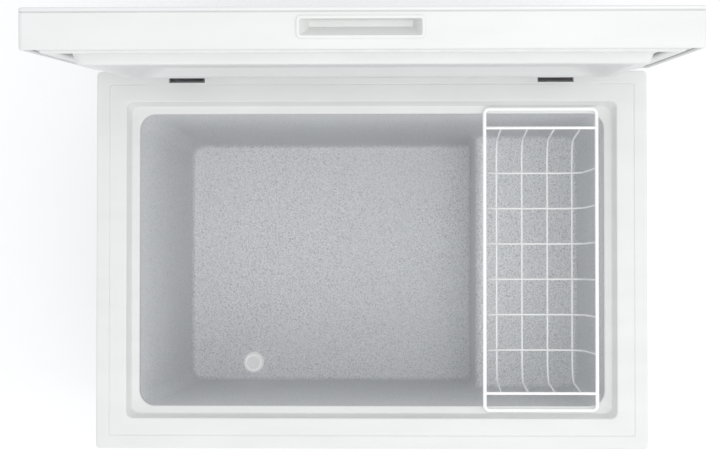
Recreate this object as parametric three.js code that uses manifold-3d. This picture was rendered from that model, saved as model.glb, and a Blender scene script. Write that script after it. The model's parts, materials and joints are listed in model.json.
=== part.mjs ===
// A household chest freezer, shown with its lid standing open on its hinges.
// Millimetres, +Z up, +X to the right of a person who stands at the front (the -Y side).
// The cabinet is laid out about its own centre line, and the last lines stand the whole
// freezer on z = 0 with the middle of its bounding box over the origin.
import * as THREE from "three";
import { mergeVertices } from "three/addons/utils/BufferGeometryUtils.js";
import Module from "manifold-3d";

const wasm = await Module();
wasm.setup();

// ---------------------------------------------------------------- driving dimensions
const GAP = 0.3; // air between two pieces that touch
const CABINET = { width: 800, depth: 548, rim: 800, base: 30 };
const HALF = { x: CABINET.width / 2, y: CABINET.depth / 2 };
const SHEET = 0.8; // steel and aluminium sheet
const WRAP = { inset: 2.3, corner: 6, top: CABINET.rim - 4, returnWidth: 12 };
const COLLAR = {
  wall: 2,
  skirt: 24,
  edge: 3,
  groove: 19,
  recess: 44,
  ledgeOuter: 50,
  ledgeInner: 56.5,
  ledgeDrop: 20,
  lipInner: 60.8,
  lipDrop: 32,
};
const LINER = { inset: 59.3, corner: 24, floor: 85, top: CABINET.rim - 24, bend: 9 };
const HUMP = { left: 167, top: 310, bend: 12 };
const MACHINE = { left: 207, top: 265 }; // the compressor's compartment, under the hump
const LID = {
  thickness: 50,
  clear: 3,
  openAngle: 86.4,
  frameWall: 2.4,
  seam: 1.3,
  edge: 3,
  panel: 1.5,
  plugDrop: 15,
};
const HINGE = { x: 268, y: 284, z: 12, width: 51, sheet: 1.5, pin: 3, knuckle: 8 };
const POCKET = { front: 257.5, depth: 15, halfWidth: 26 }; // wells in the collar for the hinges
const HANDLE = { width: 150, height: 26.6, centre: 28.9, corner: 5, rim: 4, depth: 20 };
const BASKET = {
  left: 165.5,
  right: 328.7,
  end: 219.5,
  front: -194.7,
  back: 192,
  depth: 162,
  taper: 9,
  loopWire: 5.5,
  barWire: 4.4,
  meshWire: 3,
  corner: 7,
  bend: 36,
};
const BASKET_LONG_WIRES = [190, 229, 268, 306];
const BASKET_CROSS_WIRES = { first: -138, pitch: 54.4, count: 6 };
const DRAIN = { x: -228, y: -182, bore: 8.4, tube: 10, z: 57, plug: 18.5, cap: 15 };
const CONTROL = { x: 318, z: 90, width: 134, height: 56, knobX: 340, knob: 17, lensX: 285 };
const VENT = { y: 95, z: 125, width: 180, height: 120, slots: 9 };
const REAR_COVER = { x: 300, z: 155, width: 176, height: 216 };
const FOOT = { x: 350, y: -225, pad: 18, stem: 5 };
const ROLLER = { x: 350, y: 215, radius: 12, width: 18, axle: 3 };
const COMPRESSOR = { x: 303, y: 95, radius: 70, bottom: 62, height: 145 };
const CONDENSER = { tube: 2.4, rows: 6, first: 310, pitch: 88, backY: 240, leftY: 255 };
const EVAPORATOR = { tube: 2.5, rows: 4, first: 360, pitch: 110, nearX: 250, farX: 200 };
const COIL_BEND = 6;

// ---------------------------------------------------------------- materials
const finish = (color, roughness, metalness) =>
  new THREE.MeshStandardMaterial({ color, roughness, metalness, flatShading: true });
const WHITE_STEEL = finish(0xeff0ee, 0.35, 0);
const WHITE_PLASTIC = finish(0xf1f2f0, 0.45, 0);
const STUCCO = finish(0xc8cbcd, 0.38, 1);
const ZINC = finish(0xb4b7ba, 0.4, 1);
const FOAM = finish(0xe6d9a8, 0.9, 0);
const COPPER = finish(0xb87348, 0.35, 1);
const BLACK_STEEL = finish(0x1d1e20, 0.45, 0);
const DARK_STEEL = finish(0x4a4c4f, 0.45, 1);
const RUBBER = finish(0x2a2a2b, 0.8, 0);
const GASKET = finish(0xe4e5e3, 0.6, 0);
const WIRE = finish(0xf4f5f4, 0.35, 0);
const GREY_PLASTIC = finish(0xb9bcbe, 0.5, 0);
const GREEN_LENS = finish(0x3fae57, 0.2, 0);
const RED_LENS = finish(0xc8392e, 0.2, 0);

// ---------------------------------------------------------------- solids
// A closed three.js geometry as a manifold-3d solid, with its faces turned outwards.
function solid(geometry) {
  const bare = geometry.index ? geometry.toNonIndexed() : geometry.clone();
  for (const name of Object.keys(bare.attributes)) {
    if (name !== "position") bare.deleteAttribute(name);
  }
  const merged = mergeVertices(bare, 1e-4);
  const faces = [];
  for (let i = 0; i < merged.index.count; i += 3) {
    const [a, b, c] = [0, 1, 2].map((k) => merged.index.getX(i + k));
    if (a !== b && b !== c && c !== a) faces.push([a, b, c]);
  }
  const build = (list) =>
    new wasm.Manifold(
      new wasm.Mesh({
        numProp: 3,
        vertProperties: merged.attributes.position.array,
        triVerts: new Uint32Array(list.flat()),
      }),
    );
  const made = build(faces);
  return made.volume() < 0 ? build(faces.map(([a, b, c]) => [a, c, b])) : made;
}

const join = (pieces) => pieces.reduce((whole, piece) => whole.add(piece));
const cut = (body, ...tools) => tools.flat().reduce((rest, tool) => rest.subtract(tool), body);

function box(x0, x1, y0, y1, z0, z1) {
  const block = new THREE.BoxGeometry(x1 - x0, y1 - y0, z1 - z0);
  return solid(block.translate((x0 + x1) / 2, (y0 + y1) / 2, (z0 + z1) / 2));
}

// A flat shape given thickness along Z, X or Y. Along X it is drawn in (y, z), along Y in (x, z).
function alongZ(shape, z0, z1, curveSegments = 4) {
  const options = { depth: z1 - z0, bevelEnabled: false, curveSegments };
  return new THREE.ExtrudeGeometry(shape, options).translate(0, 0, z0);
}
function alongX(shape, x0, x1, curveSegments = 4) {
  const turn = new THREE.Matrix4().set(0, 0, 1, 0, 1, 0, 0, 0, 0, 1, 0, 0, 0, 0, 0, 1);
  return solid(alongZ(shape, x0, x1, curveSegments).applyMatrix4(turn));
}
function alongY(shape, y0, y1, curveSegments = 4) {
  return solid(alongZ(shape, -y1, -y0, curveSegments).rotateX(Math.PI / 2));
}

const polygon = (points) => new THREE.Shape(points.map(([x, y]) => new THREE.Vector2(x, y)));

function roundedRectangle(x0, x1, y0, y1, r, steps = 3) {
  const corners = [[x1 - r, y1 - r], [x0 + r, y1 - r], [x0 + r, y0 + r], [x1 - r, y0 + r]];
  return polygon(corners.flatMap(([cx, cy], corner) =>
    Array.from({ length: steps + 1 }, (_, k) => {
      const angle = (corner + k / steps) * (Math.PI / 2);
      return [cx + r * Math.cos(angle), cy + r * Math.sin(angle)];
    })));
}

// A turned piece about the Z axis from [radius, height] points, moved to (x, y, z).
function turned(profile, segments, x = 0, y = 0, z = 0) {
  const points = profile.map(([r, h]) => new THREE.Vector2(r, h));
  return new THREE.LatheGeometry(points, segments).rotateX(Math.PI / 2).translate(x, y, z);
}
// The same about an axis along Y (heights run towards -Y) or along X (heights run towards +X).
const turnedY = (profile, segments, x, y, z) =>
  solid(turned(profile, segments).rotateX(Math.PI / 2).translate(x, y, z));
const turnedX = (profile, segments, x, y, z) =>
  solid(turned(profile, segments).rotateY(Math.PI / 2).translate(x, y, z));
const turnedZ = (...values) => solid(turned(...values));

// One level loop of a rounded rectangle about the centre line.
function level(halfX, halfY, radius, z, steps = 3) {
  const loop = [];
  const corners = [[1, 1], [-1, 1], [-1, -1], [1, -1]];
  corners.forEach(([sx, sy], corner) => {
    for (let k = 0; k <= steps; k++) {
      const angle = (corner + k / steps) * (Math.PI / 2);
      const x = sx * (halfX - radius) + radius * Math.cos(angle);
      const y = sy * (halfY - radius) + radius * Math.sin(angle);
      loop.push(new THREE.Vector3(x, y, z));
    }
  });
  return loop;
}
// The same loop, drawn in by s from the outer edge of the cabinet or of the lid.
const inset = (s, radius, z, steps) => level(HALF.x - s, HALF.y - s, radius, z, steps);

// A skin stretched over a list of loops. A closed list makes a ring; an open one is capped.
function loft(loops, closed) {
  const count = loops[0].length;
  const positions = loops.flat().flatMap((p) => [p.x, p.y, p.z]);
  const index = [];
  const last = closed ? loops.length : loops.length - 1;
  for (let i = 0; i < last; i++) {
    const near = i * count;
    const far = ((i + 1) % loops.length) * count;
    for (let k = 0; k < count; k++) {
      const next = (k + 1) % count;
      index.push(near + k, near + next, far + next, near + k, far + next, far + k);
    }
  }
  if (!closed) {
    const top = (loops.length - 1) * count;
    for (let k = 1; k < count - 1; k++) {
      index.push(0, k + 1, k, top, top + k, top + k + 1);
    }
  }
  const geometry = new THREE.BufferGeometry();
  geometry.setAttribute("position", new THREE.Float32BufferAttribute(positions, 3));
  geometry.setIndex(index);
  return solid(geometry);
}

// A path that keeps every one of its own points, for sweeping a wire or a pipe.
class BentPath extends THREE.Curve {
  constructor(points) {
    super();
    this.points = points;
  }
  getSpacedPoints() {
    return this.points;
  }
  getPoint(t, target = new THREE.Vector3()) {
    return target.copy(this.points[Math.round(t * (this.points.length - 1))]);
  }
  getPointAt(t, target) {
    return this.getPoint(t, target);
  }
  getTangentAt(t, target = new THREE.Vector3()) {
    const last = this.points.length - 1;
    const at = Math.round(t * last);
    const before = this.points[Math.max(at - 1, 0)];
    const after = this.points[Math.min(at + 1, last)];
    return target.subVectors(after, before).normalize();
  }
}

// Straight runs between the corners, each corner rounded to the given radius.
function bent(corners, radius, steps = 3) {
  const at = corners.map((c) => new THREE.Vector3(...c));
  const points = [at[0]];
  for (let i = 1; i < at.length - 1; i++) {
    const into = at[i].clone().sub(at[i - 1]).normalize();
    const out = at[i + 1].clone().sub(at[i]).normalize();
    const turn = into.angleTo(out);
    const back = radius * Math.tan(turn / 2);
    const start = at[i].clone().addScaledVector(into, -back);
    const inward = out.clone().sub(into).normalize();
    const centre = at[i].clone().addScaledVector(inward, radius / Math.cos(turn / 2));
    const axis = into.clone().cross(out).normalize();
    for (let k = 0; k <= steps; k++) {
      const arm = start.clone().sub(centre).applyAxisAngle(axis, (turn * k) / steps);
      points.push(centre.clone().add(arm));
    }
  }
  points.push(at[at.length - 1]);
  return points;
}

const circle = (radius, sides) =>
  Array.from({ length: sides }, (_, k) => {
    const angle = (2 * Math.PI * k) / sides;
    return new THREE.Vector2(radius * Math.cos(angle), radius * Math.sin(angle));
  });

function sweep(points, radius, sides = 6, bore = 0) {
  const section = new THREE.Shape(circle(radius, sides));
  if (bore) section.holes.push(new THREE.Path(circle(bore, sides)));
  const options = { steps: points.length - 1, extrudePath: new BentPath(points), bevelEnabled: false };
  return solid(new THREE.ExtrudeGeometry(section, options));
}

// ---------------------------------------------------------------- cabinet sheet metal
const RIM = CABINET.rim;
const BASE = CABINET.base;
const wrapX = HALF.x - WRAP.inset;
const wrapFront = -(HALF.y - WRAP.inset);
const wrapBack = HALF.y - WRAP.inset - SHEET - GAP; // the back panel closes it from outside

// The plan of the cabinet, with its round corners, shrunk by a margin.
function cabinetPlan(margin, back) {
  return roundedRectangle(-wrapX + margin, wrapX - margin, wrapFront + margin, back,
    WRAP.corner - margin);
}

const controlHole = box(
  CONTROL.x - CONTROL.width / 2 + 3,
  CONTROL.x + CONTROL.width / 2 - 3,
  -HALF.y - 5,
  -HALF.y + 12,
  CONTROL.z - CONTROL.height / 2 + 3,
  CONTROL.z + CONTROL.height / 2 - 3,
);

function outerWrap() {
  const outside = solid(alongZ(cabinetPlan(0, wrapBack), BASE, WRAP.top));
  const inside = solid(alongZ(cabinetPlan(SHEET, wrapBack - SHEET), BASE - 1, WRAP.top + 1));
  const mouth = wrapX - WRAP.returnWidth;
  const backMouth = box(-mouth, mouth, wrapBack - 2, wrapBack + 2, BASE - 1, WRAP.top + 1);
  const vent = box(
    wrapX - 5,
    wrapX + 5,
    VENT.y - VENT.width / 2 + 8,
    VENT.y + VENT.width / 2 - 8,
    VENT.z - VENT.height / 2 + 8,
    VENT.z + VENT.height / 2 - 8,
  );
  const drain = turnedY([[0, -20], [DRAIN.tube + 0.8, -20], [DRAIN.tube + 0.8, 20], [0, 20]], 12,
    DRAIN.x, wrapFront, DRAIN.z);
  // the returns stop below the hinge wells
  const topOfReturns = box(-mouth - 14, mouth + 14, wrapBack - SHEET - 0.01, wrapBack + 2, RIM - 19,
    RIM);
  return cut(outside, inside, backMouth, controlHole, vent, drain, topOfReturns);
}

const panelBack = wrapBack + GAP;
const coverScrews = [-1, 1].flatMap((sx) =>
  [-1, 1].map((sz) => [
    REAR_COVER.x + sx * (REAR_COVER.width / 2 - 8),
    REAR_COVER.z + sz * (REAR_COVER.height / 2 - 8),
  ]),
);
const peg = (radius, y0, y1, x, z, sides = 10) =>
  turnedY([[0, -y1], [radius, -y1], [radius, -y0], [0, -y0]], sides, x, 0, z);

function backPanel() {
  const edge = wrapX - WRAP.corner + 1;
  const sheet = box(-edge, edge, panelBack, panelBack + SHEET, BASE, RIM - 19);
  const opening = box(
    REAR_COVER.x - REAR_COVER.width / 2 + 16,
    REAR_COVER.x + REAR_COVER.width / 2 - 16,
    panelBack - 1,
    panelBack + 2,
    REAR_COVER.z - REAR_COVER.height / 2 + 16,
    REAR_COVER.z + REAR_COVER.height / 2 - 16,
  );
  const holes = coverScrews.map(([x, z]) => peg(2.2, panelBack - 1, panelBack + 2, x, z));
  return cut(sheet, opening, holes);
}

function rearCover() {
  const y0 = panelBack + SHEET + GAP;
  const x0 = REAR_COVER.x - REAR_COVER.width / 2;
  const z0 = REAR_COVER.z - REAR_COVER.height / 2;
  const plan = roundedRectangle(x0, x0 + REAR_COVER.width, z0, z0 + REAR_COVER.height, 5);
  const slots = [];
  for (let row = 0; row < 7; row++) {
    for (const side of [-1, 1]) {
      const cx = REAR_COVER.x + side * 34;
      const z = z0 + 62 + row * 16;
      slots.push(box(cx - 27, cx + 27, y0 - 1, y0 + 2, z, z + 6));
    }
  }
  const gland = peg(8, y0 - 1, y0 + 3, REAR_COVER.x - 52, z0 + 34);
  const holes = coverScrews.map(([x, z]) => peg(2.2, y0 - 1, y0 + 3, x, z));
  return cut(alongY(plan, y0, y0 + 1), gland, holes, slots);
}

function coverScrew([x, z]) {
  const y0 = panelBack + SHEET + GAP + 1 + GAP;
  const head = [[1.9, -y0], [4, -y0], [4, -y0 - 1.4], [2.6, -y0 - 2.4], [0, -y0 - 2.4]];
  return turnedY([[0, -(panelBack - 6)], [1.9, -(panelBack - 6)], ...head], 8, x, 0, z);
}

function basePan() {
  const flange = 14;
  const floor = solid(alongZ(cabinetPlan(SHEET + GAP, wrapBack - SHEET - GAP), BASE, BASE + flange));
  const inner = cabinetPlan(SHEET + GAP + SHEET, wrapBack - 2 * SHEET - GAP);
  const tray = cut(floor, solid(alongZ(inner, BASE + SHEET, BASE + flange + 1)));
  const stems = [-1, 1].map((side) =>
    turnedZ([[0, -9], [FOOT.stem + 0.5, -9], [FOOT.stem + 0.5, 9], [0, 9]], 10, side * FOOT.x, FOOT.y,
      BASE));
  const frontFlange = box(
    CONTROL.x - CONTROL.width / 2 - 2,
    CONTROL.x + CONTROL.width / 2 + 2,
    wrapFront - 5,
    wrapFront + 12,
    BASE + 5,
    BASE + flange + 1,
  );
  const intake = [0, 1, 2, 3].map((k) =>
    box(MACHINE.left + 30, MACHINE.left + 150, -160 + k * 26, -148 + k * 26, BASE - 1, BASE + 2));
  return cut(tray, stems, frontFlange, intake);
}

// ---------------------------------------------------------------- rim collar
const pockets = (grow, back = HALF.y + 6) =>
  [-1, 1].map((side) =>
    box(
      side * HINGE.x - POCKET.halfWidth - grow,
      side * HINGE.x + POCKET.halfWidth + grow,
      POCKET.front - grow,
      back,
      RIM - POCKET.depth - grow,
      RIM + 5,
    ));

function rimCollar() {
  const c = COLLAR;
  const top = [
    [0, WRAP.corner, -c.skirt],
    [0, WRAP.corner, -c.edge],
    [0.9, WRAP.corner - 0.9, -0.9],
    [c.edge, WRAP.corner - 2, 0],
    [c.groove - 0.9, 4, 0],
    [c.groove, 4, -1.1],
    [c.groove + 0.9, 4, 0],
    [c.recess - 1, 9, 0],
    [c.recess + 0.8, 10, -1],
    [c.ledgeOuter - 1.2, 12, -c.ledgeDrop + 2],
    [c.ledgeOuter + 1, 13, -c.ledgeDrop],
    [c.ledgeInner, 21, -c.ledgeDrop - 0.6],
    [c.lipInner - 1.6, 23, -c.ledgeDrop - 1.4],
    [c.lipInner, 22.5, -c.ledgeDrop - 3.4],
    [c.lipInner, 22.5, -c.lipDrop],
  ];
  const under = [
    [c.lipInner - 1.2, 23.7, -c.lipDrop],
    [c.lipInner - 1.2, 23.7, -c.ledgeDrop - 3.2],
    [c.ledgeInner, 22, -c.ledgeDrop - 2.6],
    [c.ledgeOuter - 1, 14, -c.ledgeDrop - 2],
    [c.ledgeOuter - 3.2, 12, -c.ledgeDrop + 1.4],
    [c.recess - 1.5, 10, -c.wall],
    [c.wall, WRAP.corner - c.wall, -c.wall],
    [c.wall, WRAP.corner - c.wall, -c.skirt],
  ];
  const loops = [...top, ...under].map(([s, r, z]) => inset(s, r, RIM + z));
  const wall = 1.6;
  const wells = cut(join(pockets(wall, HALF.y)), box(-HALF.x, HALF.x, 0, HALF.y + 9, RIM, RIM + 9));
  return cut(loft(loops, true).add(wells), pockets(0));
}

// ---------------------------------------------------------------- liner and insulation
// The space inside the tub, grown outwards by a margin: a rounded box with a step at the right.
function tub(margin, top) {
  const halfX = HALF.x - LINER.inset + margin;
  const halfY = HALF.y - LINER.inset + margin;
  const floor = LINER.floor - margin;
  const left = HUMP.left + margin;
  const step = HUMP.top - margin;
  const bend = LINER.bend + margin;
  const crest = HUMP.bend - margin;
  const walls = loft([level(halfX, halfY, LINER.corner + margin, floor),
    level(halfX, halfY, LINER.corner + margin, top)], false);
  const side = new THREE.Shape();
  side.moveTo(-halfX, top + 9).lineTo(-halfX, floor + bend);
  side.absarc(-halfX + bend, floor + bend, bend, Math.PI, Math.PI * 1.5);
  side.lineTo(left - bend, floor).absarc(left - bend, floor + bend, bend, -Math.PI / 2, 0);
  side.lineTo(left, step - crest).absarc(left + crest, step - crest, crest, Math.PI, Math.PI / 2, true);
  side.lineTo(halfX - bend, step).absarc(halfX - bend, step + bend, bend, -Math.PI / 2, 0);
  side.lineTo(halfX, top + 9);
  const end = new THREE.Shape();
  end.moveTo(-halfY, top + 9).lineTo(-halfY, floor + bend);
  end.absarc(-halfY + bend, floor + bend, bend, Math.PI, Math.PI * 1.5);
  end.lineTo(halfY - bend, floor).absarc(halfY - bend, floor + bend, bend, -Math.PI / 2, 0);
  end.lineTo(halfY, top + 9);
  return walls.intersect(alongY(side, -halfY - 1, halfY + 1, 3)).intersect(alongX(end, -halfX - 1,
    halfX + 1, 3));
}

const drainBore = (radius, z0, z1) =>
  turnedZ([[0, z0], [radius, z0], [radius, z1], [0, z1]], 12, DRAIN.x, DRAIN.y, 0);

function innerLiner() {
  const shell = cut(tub(SHEET, LINER.top), tub(0, LINER.top + 5));
  return cut(shell, drainBore(DRAIN.bore + 0.6, 60, 100));
}

const drainRoute = () =>
  bent([[DRAIN.x, DRAIN.y, LINER.floor - SHEET - GAP], [DRAIN.x, DRAIN.y, DRAIN.z],
    [DRAIN.x, wrapFront - 5, DRAIN.z]], 14);

// The skin condenser: level rows on the right, front and left walls, joined at the back.
const condenserOut = wrapX - SHEET - GAP - CONDENSER.tube;
const condenserFront = wrapFront + SHEET + GAP + CONDENSER.tube;
const condenserRows = Array.from({ length: CONDENSER.rows }, (_, k) =>
  CONDENSER.first + k * CONDENSER.pitch);
const returnY = CONDENSER.leftY;

function condenserCoil() {
  const c = CONDENSER;
  const corners = [[condenserOut, c.backY, MACHINE.top - 12]];
  condenserRows.forEach((z, row) => {
    const goingLeft = row % 2 === 0;
    const side = goingLeft ? 1 : -1;
    const startY = goingLeft ? c.backY : c.leftY;
    const endY = goingLeft ? c.leftY : row === c.rows - 1 ? returnY : c.backY;
    corners.push([side * condenserOut, startY, z], [side * condenserOut, condenserFront, z]);
    corners.push([-side * condenserOut, condenserFront, z], [-side * condenserOut, endY, z]);
  });
  corners.push([condenserOut, returnY, MACHINE.top - 20],
    [condenserOut - 12, returnY, MACHINE.top - 34]);
  corners.push([condenserOut - 12, returnY, MACHINE.top - 46]);
  return sweep(bent(corners, COIL_BEND, 2), c.tube, 5);
}

function condenserChannels() {
  const deep = 7.5;
  const half = 4;
  const x0 = wrapX - SHEET - GAP - deep;
  const rows = condenserRows.map((z, row) => {
    const slab = box(-HALF.x, HALF.x, -HALF.y, CONDENSER.leftY + half, z - half, z + half);
    const backRight = row === CONDENSER.rows - 1 ? returnY : CONDENSER.backY;
    const keepRight = box(0, HALF.x + 1, backRight + half, HALF.y, z - 9, z + 9);
    const core = box(-x0, x0, wrapFront + SHEET + GAP + deep, HALF.y, z - 9, z + 9);
    return cut(slab, core, keepRight);
  });
  const slot = (side, y, z0, z1) =>
    box(side > 0 ? x0 : -HALF.x, side > 0 ? HALF.x : -x0, y - half, y + half, z0 - half, z1 + half);
  const links = condenserRows.slice(0, -1).map((z, row) =>
    slot(row % 2 === 0 ? -1 : 1, row % 2 === 0 ? CONDENSER.leftY : CONDENSER.backY, z,
      z + CONDENSER.pitch));
  const drops = [slot(1, CONDENSER.backY, MACHINE.top - 9, CONDENSER.first),
    slot(1, returnY, MACHINE.top - 9, condenserRows.at(-1))];
  return [...rows, ...links, ...drops];
}

// The evaporator: rows round all four walls of the liner, with their ends behind its back wall.
const evaporatorRows = Array.from({ length: EVAPORATOR.rows }, (_, k) =>
  EVAPORATOR.first + k * EVAPORATOR.pitch);
const evaporatorStand = SHEET + GAP + EVAPORATOR.tube;
const evaporatorX = HALF.x - LINER.inset + evaporatorStand;
const evaporatorY = HALF.y - LINER.inset + evaporatorStand;
const downX = (EVAPORATOR.nearX + EVAPORATOR.farX) / 2;

function evaporatorCoil() {
  const e = EVAPORATOR;
  const corners = [[e.nearX, evaporatorY, MACHINE.top - 25]];
  evaporatorRows.forEach((z, row) => {
    const clockwise = row % 2 === 0;
    const side = clockwise ? 1 : -1;
    const start = clockwise ? e.nearX : e.farX;
    const end = clockwise ? e.farX : row === e.rows - 1 ? downX : e.nearX;
    corners.push([start, evaporatorY, z], [side * evaporatorX, evaporatorY, z]);
    corners.push([side * evaporatorX, -evaporatorY, z], [-side * evaporatorX, -evaporatorY, z]);
    corners.push([-side * evaporatorX, evaporatorY, z], [end, evaporatorY, z]);
  });
  corners.push([downX, evaporatorY, MACHINE.top - 25]);
  const bends = corners.map((c, i) =>
    (Math.abs(c[0]) === evaporatorX ? LINER.corner + evaporatorStand : COIL_BEND));
  return sweep(bentEach(corners, bends), e.tube, 5);
}

// As bent, with a radius of its own at each corner.
function bentEach(corners, radii) {
  const points = [new THREE.Vector3(...corners[0])];
  for (let i = 1; i < corners.length - 1; i++) {
    points.push(...bent([corners[i - 1], corners[i], corners[i + 1]], radii[i], 3).slice(1, -1));
  }
  points.push(new THREE.Vector3(...corners.at(-1)));
  return points;
}

function evaporatorChannels() {
  const deep = evaporatorStand + EVAPORATOR.tube + 0.7;
  const half = 4;
  const halfX = HALF.x - LINER.inset + deep;
  const halfY = HALF.y - LINER.inset + deep;
  const radius = LINER.corner + deep;
  const rings = evaporatorRows.map((z) =>
    loft([level(halfX, halfY, radius, z - half), level(halfX, halfY, radius, z + half)], false));
  const slot = (x, z0, z1) => box(x - half, x + half, evaporatorY - half, halfY, z0, z1);
  const [r0, r1, r2, r3] = evaporatorRows;
  return [...rings, slot(EVAPORATOR.nearX, MACHINE.top - 5, r0), slot(EVAPORATOR.farX, r0, r1),
    slot(EVAPORATOR.nearX, r1, r2), slot(EVAPORATOR.farX, r2, r3), slot(downX, MACHINE.top - 5, r3)];
}

function cabinetFoam() {
  const clear = SHEET + GAP;
  const back = wrapBack - SHEET - GAP;
  const above = solid(alongZ(cabinetPlan(clear, back), BASE + 15, RIM - COLLAR.wall - GAP));
  const below = solid(alongZ(cabinetPlan(2 * clear, back - clear), BASE + clear, BASE + 15));
  const recess = loft([inset(41, 9, RIM - COLLAR.ledgeDrop - 3.6), inset(41, 9, RIM + 9)], false);
  const machine = box(MACHINE.left, HALF.x + 1, -HALF.y - 1, HALF.y + 1, 0, MACHINE.top);
  const stem = turnedZ([[0, 0], [8, 0], [8, 50], [0, 50]], 10, -FOOT.x, FOOT.y, 0);
  const drain = sweep(drainRoute(), DRAIN.tube + GAP, 10);
  return cut(above.add(below), tub(SHEET + GAP, RIM + 9), recess, machine, stem, drain,
    drainBore(DRAIN.bore + 1.8, 60, 100), pockets(1.6 + GAP), condenserChannels(),
      evaporatorChannels());
}

// ---------------------------------------------------------------- drain
const drainTube = () => sweep(drainRoute(), DRAIN.tube, 10, DRAIN.bore);

function drainPlug() {
  const z = LINER.floor + GAP;
  const r = DRAIN.plug;
  return turnedZ([[0, z - 12], [5, z - 12], [DRAIN.bore - 0.6, z - 8], [DRAIN.bore - 0.4, z], [r, z],
    [r, z + 2.4], [r - 1.2, z + 3.4], [r - 2.6, z + 3.4], [r - 4, z + 1.8], [12.2, z + 1.8],
      [11.2, z + 5],
    [10, z + 5.6], [0, z + 5.6]], 16, DRAIN.x, DRAIN.y, 0);
}

function drainCap() {
  const y = wrapFront - 5 - GAP;
  const inner = DRAIN.bore - 0.6;
  return turnedY([[0, -y - 9], [inner - 1, -y - 9], [inner, -y - 7], [inner, -y], [DRAIN.cap, -y],
    [DRAIN.cap, -y + 4], [DRAIN.cap - 2, -y + 6], [0, -y + 6]], 16, DRAIN.x, 0, DRAIN.z);
}

// ---------------------------------------------------------------- controls, vent and gland
const panelFront = wrapFront - GAP;

function controlBezel() {
  const x0 = CONTROL.x - CONTROL.width / 2;
  const z0 = CONTROL.z - CONTROL.height / 2;
  const plate = alongY(roundedRectangle(x0, x0 + CONTROL.width, z0, z0 + CONTROL.height, 6),
    panelFront - 2, panelFront, 3);
  const walls = box(x0 + 3.4, x0 + CONTROL.width - 3.4, panelFront - 1, panelFront + 10,
    z0 + 3.4, z0 + CONTROL.height - 3.4);
  const hollow = box(x0 + 5.4, x0 + CONTROL.width - 5.4, panelFront, panelFront + 11,
    z0 + 5.4, z0 + CONTROL.height - 5.4);
  const lenses = [-11, 11].map((dz) =>
    peg(3.4, panelFront - 3, panelFront + 2, CONTROL.lensX, CONTROL.z + dz));
  return cut(plate.add(cut(walls, hollow)), lenses,
    peg(5, panelFront - 3, panelFront + 2, CONTROL.knobX, CONTROL.z));
}

function thermostatKnob() {
  const y = panelFront - 2 - GAP;
  const r = CONTROL.knob;
  const body = turnedY([[0, -y - 12], [4.4, -y - 12], [4.4, -y], [r, -y], [r, -y + 3],
    [r - 2.5, -y + 5],
    [r - 2.5, -y + 12], [r - 4, -y + 13.5], [0, -y + 13.5]], 16, CONTROL.knobX, 0, CONTROL.z);
  const mark = box(CONTROL.knobX - 0.8, CONTROL.knobX + 0.8, y - 15, y - 11, CONTROL.z + 4,
    CONTROL.z + r - 5);
  return cut(body, mark);
}

const thermostatBody = () =>
  cut(box(CONTROL.knobX - 20, CONTROL.knobX + 20, panelFront + 11, panelFront + 42, CONTROL.z - 18,
    CONTROL.z + 18),
    peg(5, panelFront + 10, panelFront + 16, CONTROL.knobX, CONTROL.z));

function lens(dz) {
  const y = panelFront - 2;
  return turnedY([[0, -y - 6], [3, -y - 6], [3, -y + 0.4], [2, -y + 1.4], [0, -y + 1.8]], 12,
    CONTROL.lensX, 0, CONTROL.z + dz);
}

function sideVentGrille() {
  const y0 = VENT.y - VENT.width / 2;
  const z0 = VENT.z - VENT.height / 2;
  const plan = roundedRectangle(y0, y0 + VENT.width, z0, z0 + VENT.height, 6);
  const pitch = (VENT.height - 28) / VENT.slots;
  const slots = Array.from({ length: VENT.slots }, (_, k) => {
    const z = z0 + 16 + k * pitch;
    return box(wrapX - 1, HALF.x + 1, y0 + 16, y0 + VENT.width - 16, z, z + pitch * 0.55);
  });
  return cut(alongX(plan, wrapX + GAP, wrapX + GAP + 1.8), slots);
}

function cordGland() {
  const y = panelBack + SHEET + GAP + 1 + GAP;
  const z = REAR_COVER.z - REAR_COVER.height / 2 + 34;
  return turnedY([[3.6, -y + 8], [3.6, -y - 5], [6, -y - 5], [11, -y - 2.5], [11, -y], [7.5, -y],
    [7.5, -y + 8],
    [3.6, -y + 8]], 14, REAR_COVER.x - 52, 0, z);
}

// ---------------------------------------------------------------- feet and rollers
function levellingFoot(side) {
  return turnedZ([[0, 0], [FOOT.pad - 1.5, 0], [FOOT.pad, 1.5], [FOOT.pad, 7], [FOOT.pad - 3, 10],
    [9, 11],
    [9, 16], [FOOT.stem, 16], [FOOT.stem, BASE + 12], [0, BASE + 12]], 12, side * FOOT.x, FOOT.y, 0);
}

function roller(side) {
  const half = ROLLER.width / 2;
  const bore = ROLLER.axle + GAP;
  return turnedX([[bore, -half], [ROLLER.radius - 1, -half], [ROLLER.radius, -half + 1],
    [ROLLER.radius, half - 1],
    [ROLLER.radius - 1, half], [bore, half], [bore, -half]], 16, side * ROLLER.x, ROLLER.y,
      ROLLER.radius);
}

function rollerBracket(side) {
  const half = ROLLER.width / 2 + 1.4;
  const x = side * ROLLER.x;
  const top = BASE - GAP;
  const plate = box(x - half - 10, x + half + 10, ROLLER.y - 22, ROLLER.y + 22, top - 1.6, top);
  const ear = new THREE.Shape();
  ear.moveTo(ROLLER.y - 16, top - 1).lineTo(ROLLER.y - 6, ROLLER.radius - 3);
  ear.absarc(ROLLER.y, ROLLER.radius, 6.5, Math.PI * 1.2, Math.PI * 1.8).lineTo(ROLLER.y + 16, top - 1);
  const ears = [x - half - 1.6, x + half].map((x0) => alongX(ear, x0, x0 + 1.6, 4));
  const bore = turnedX([[0, -60], [ROLLER.axle + GAP, -60], [ROLLER.axle + GAP, 60], [0, 60]], 12,
    x, ROLLER.y, ROLLER.radius);
  return cut(join([plate, ...ears]), bore);
}

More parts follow.
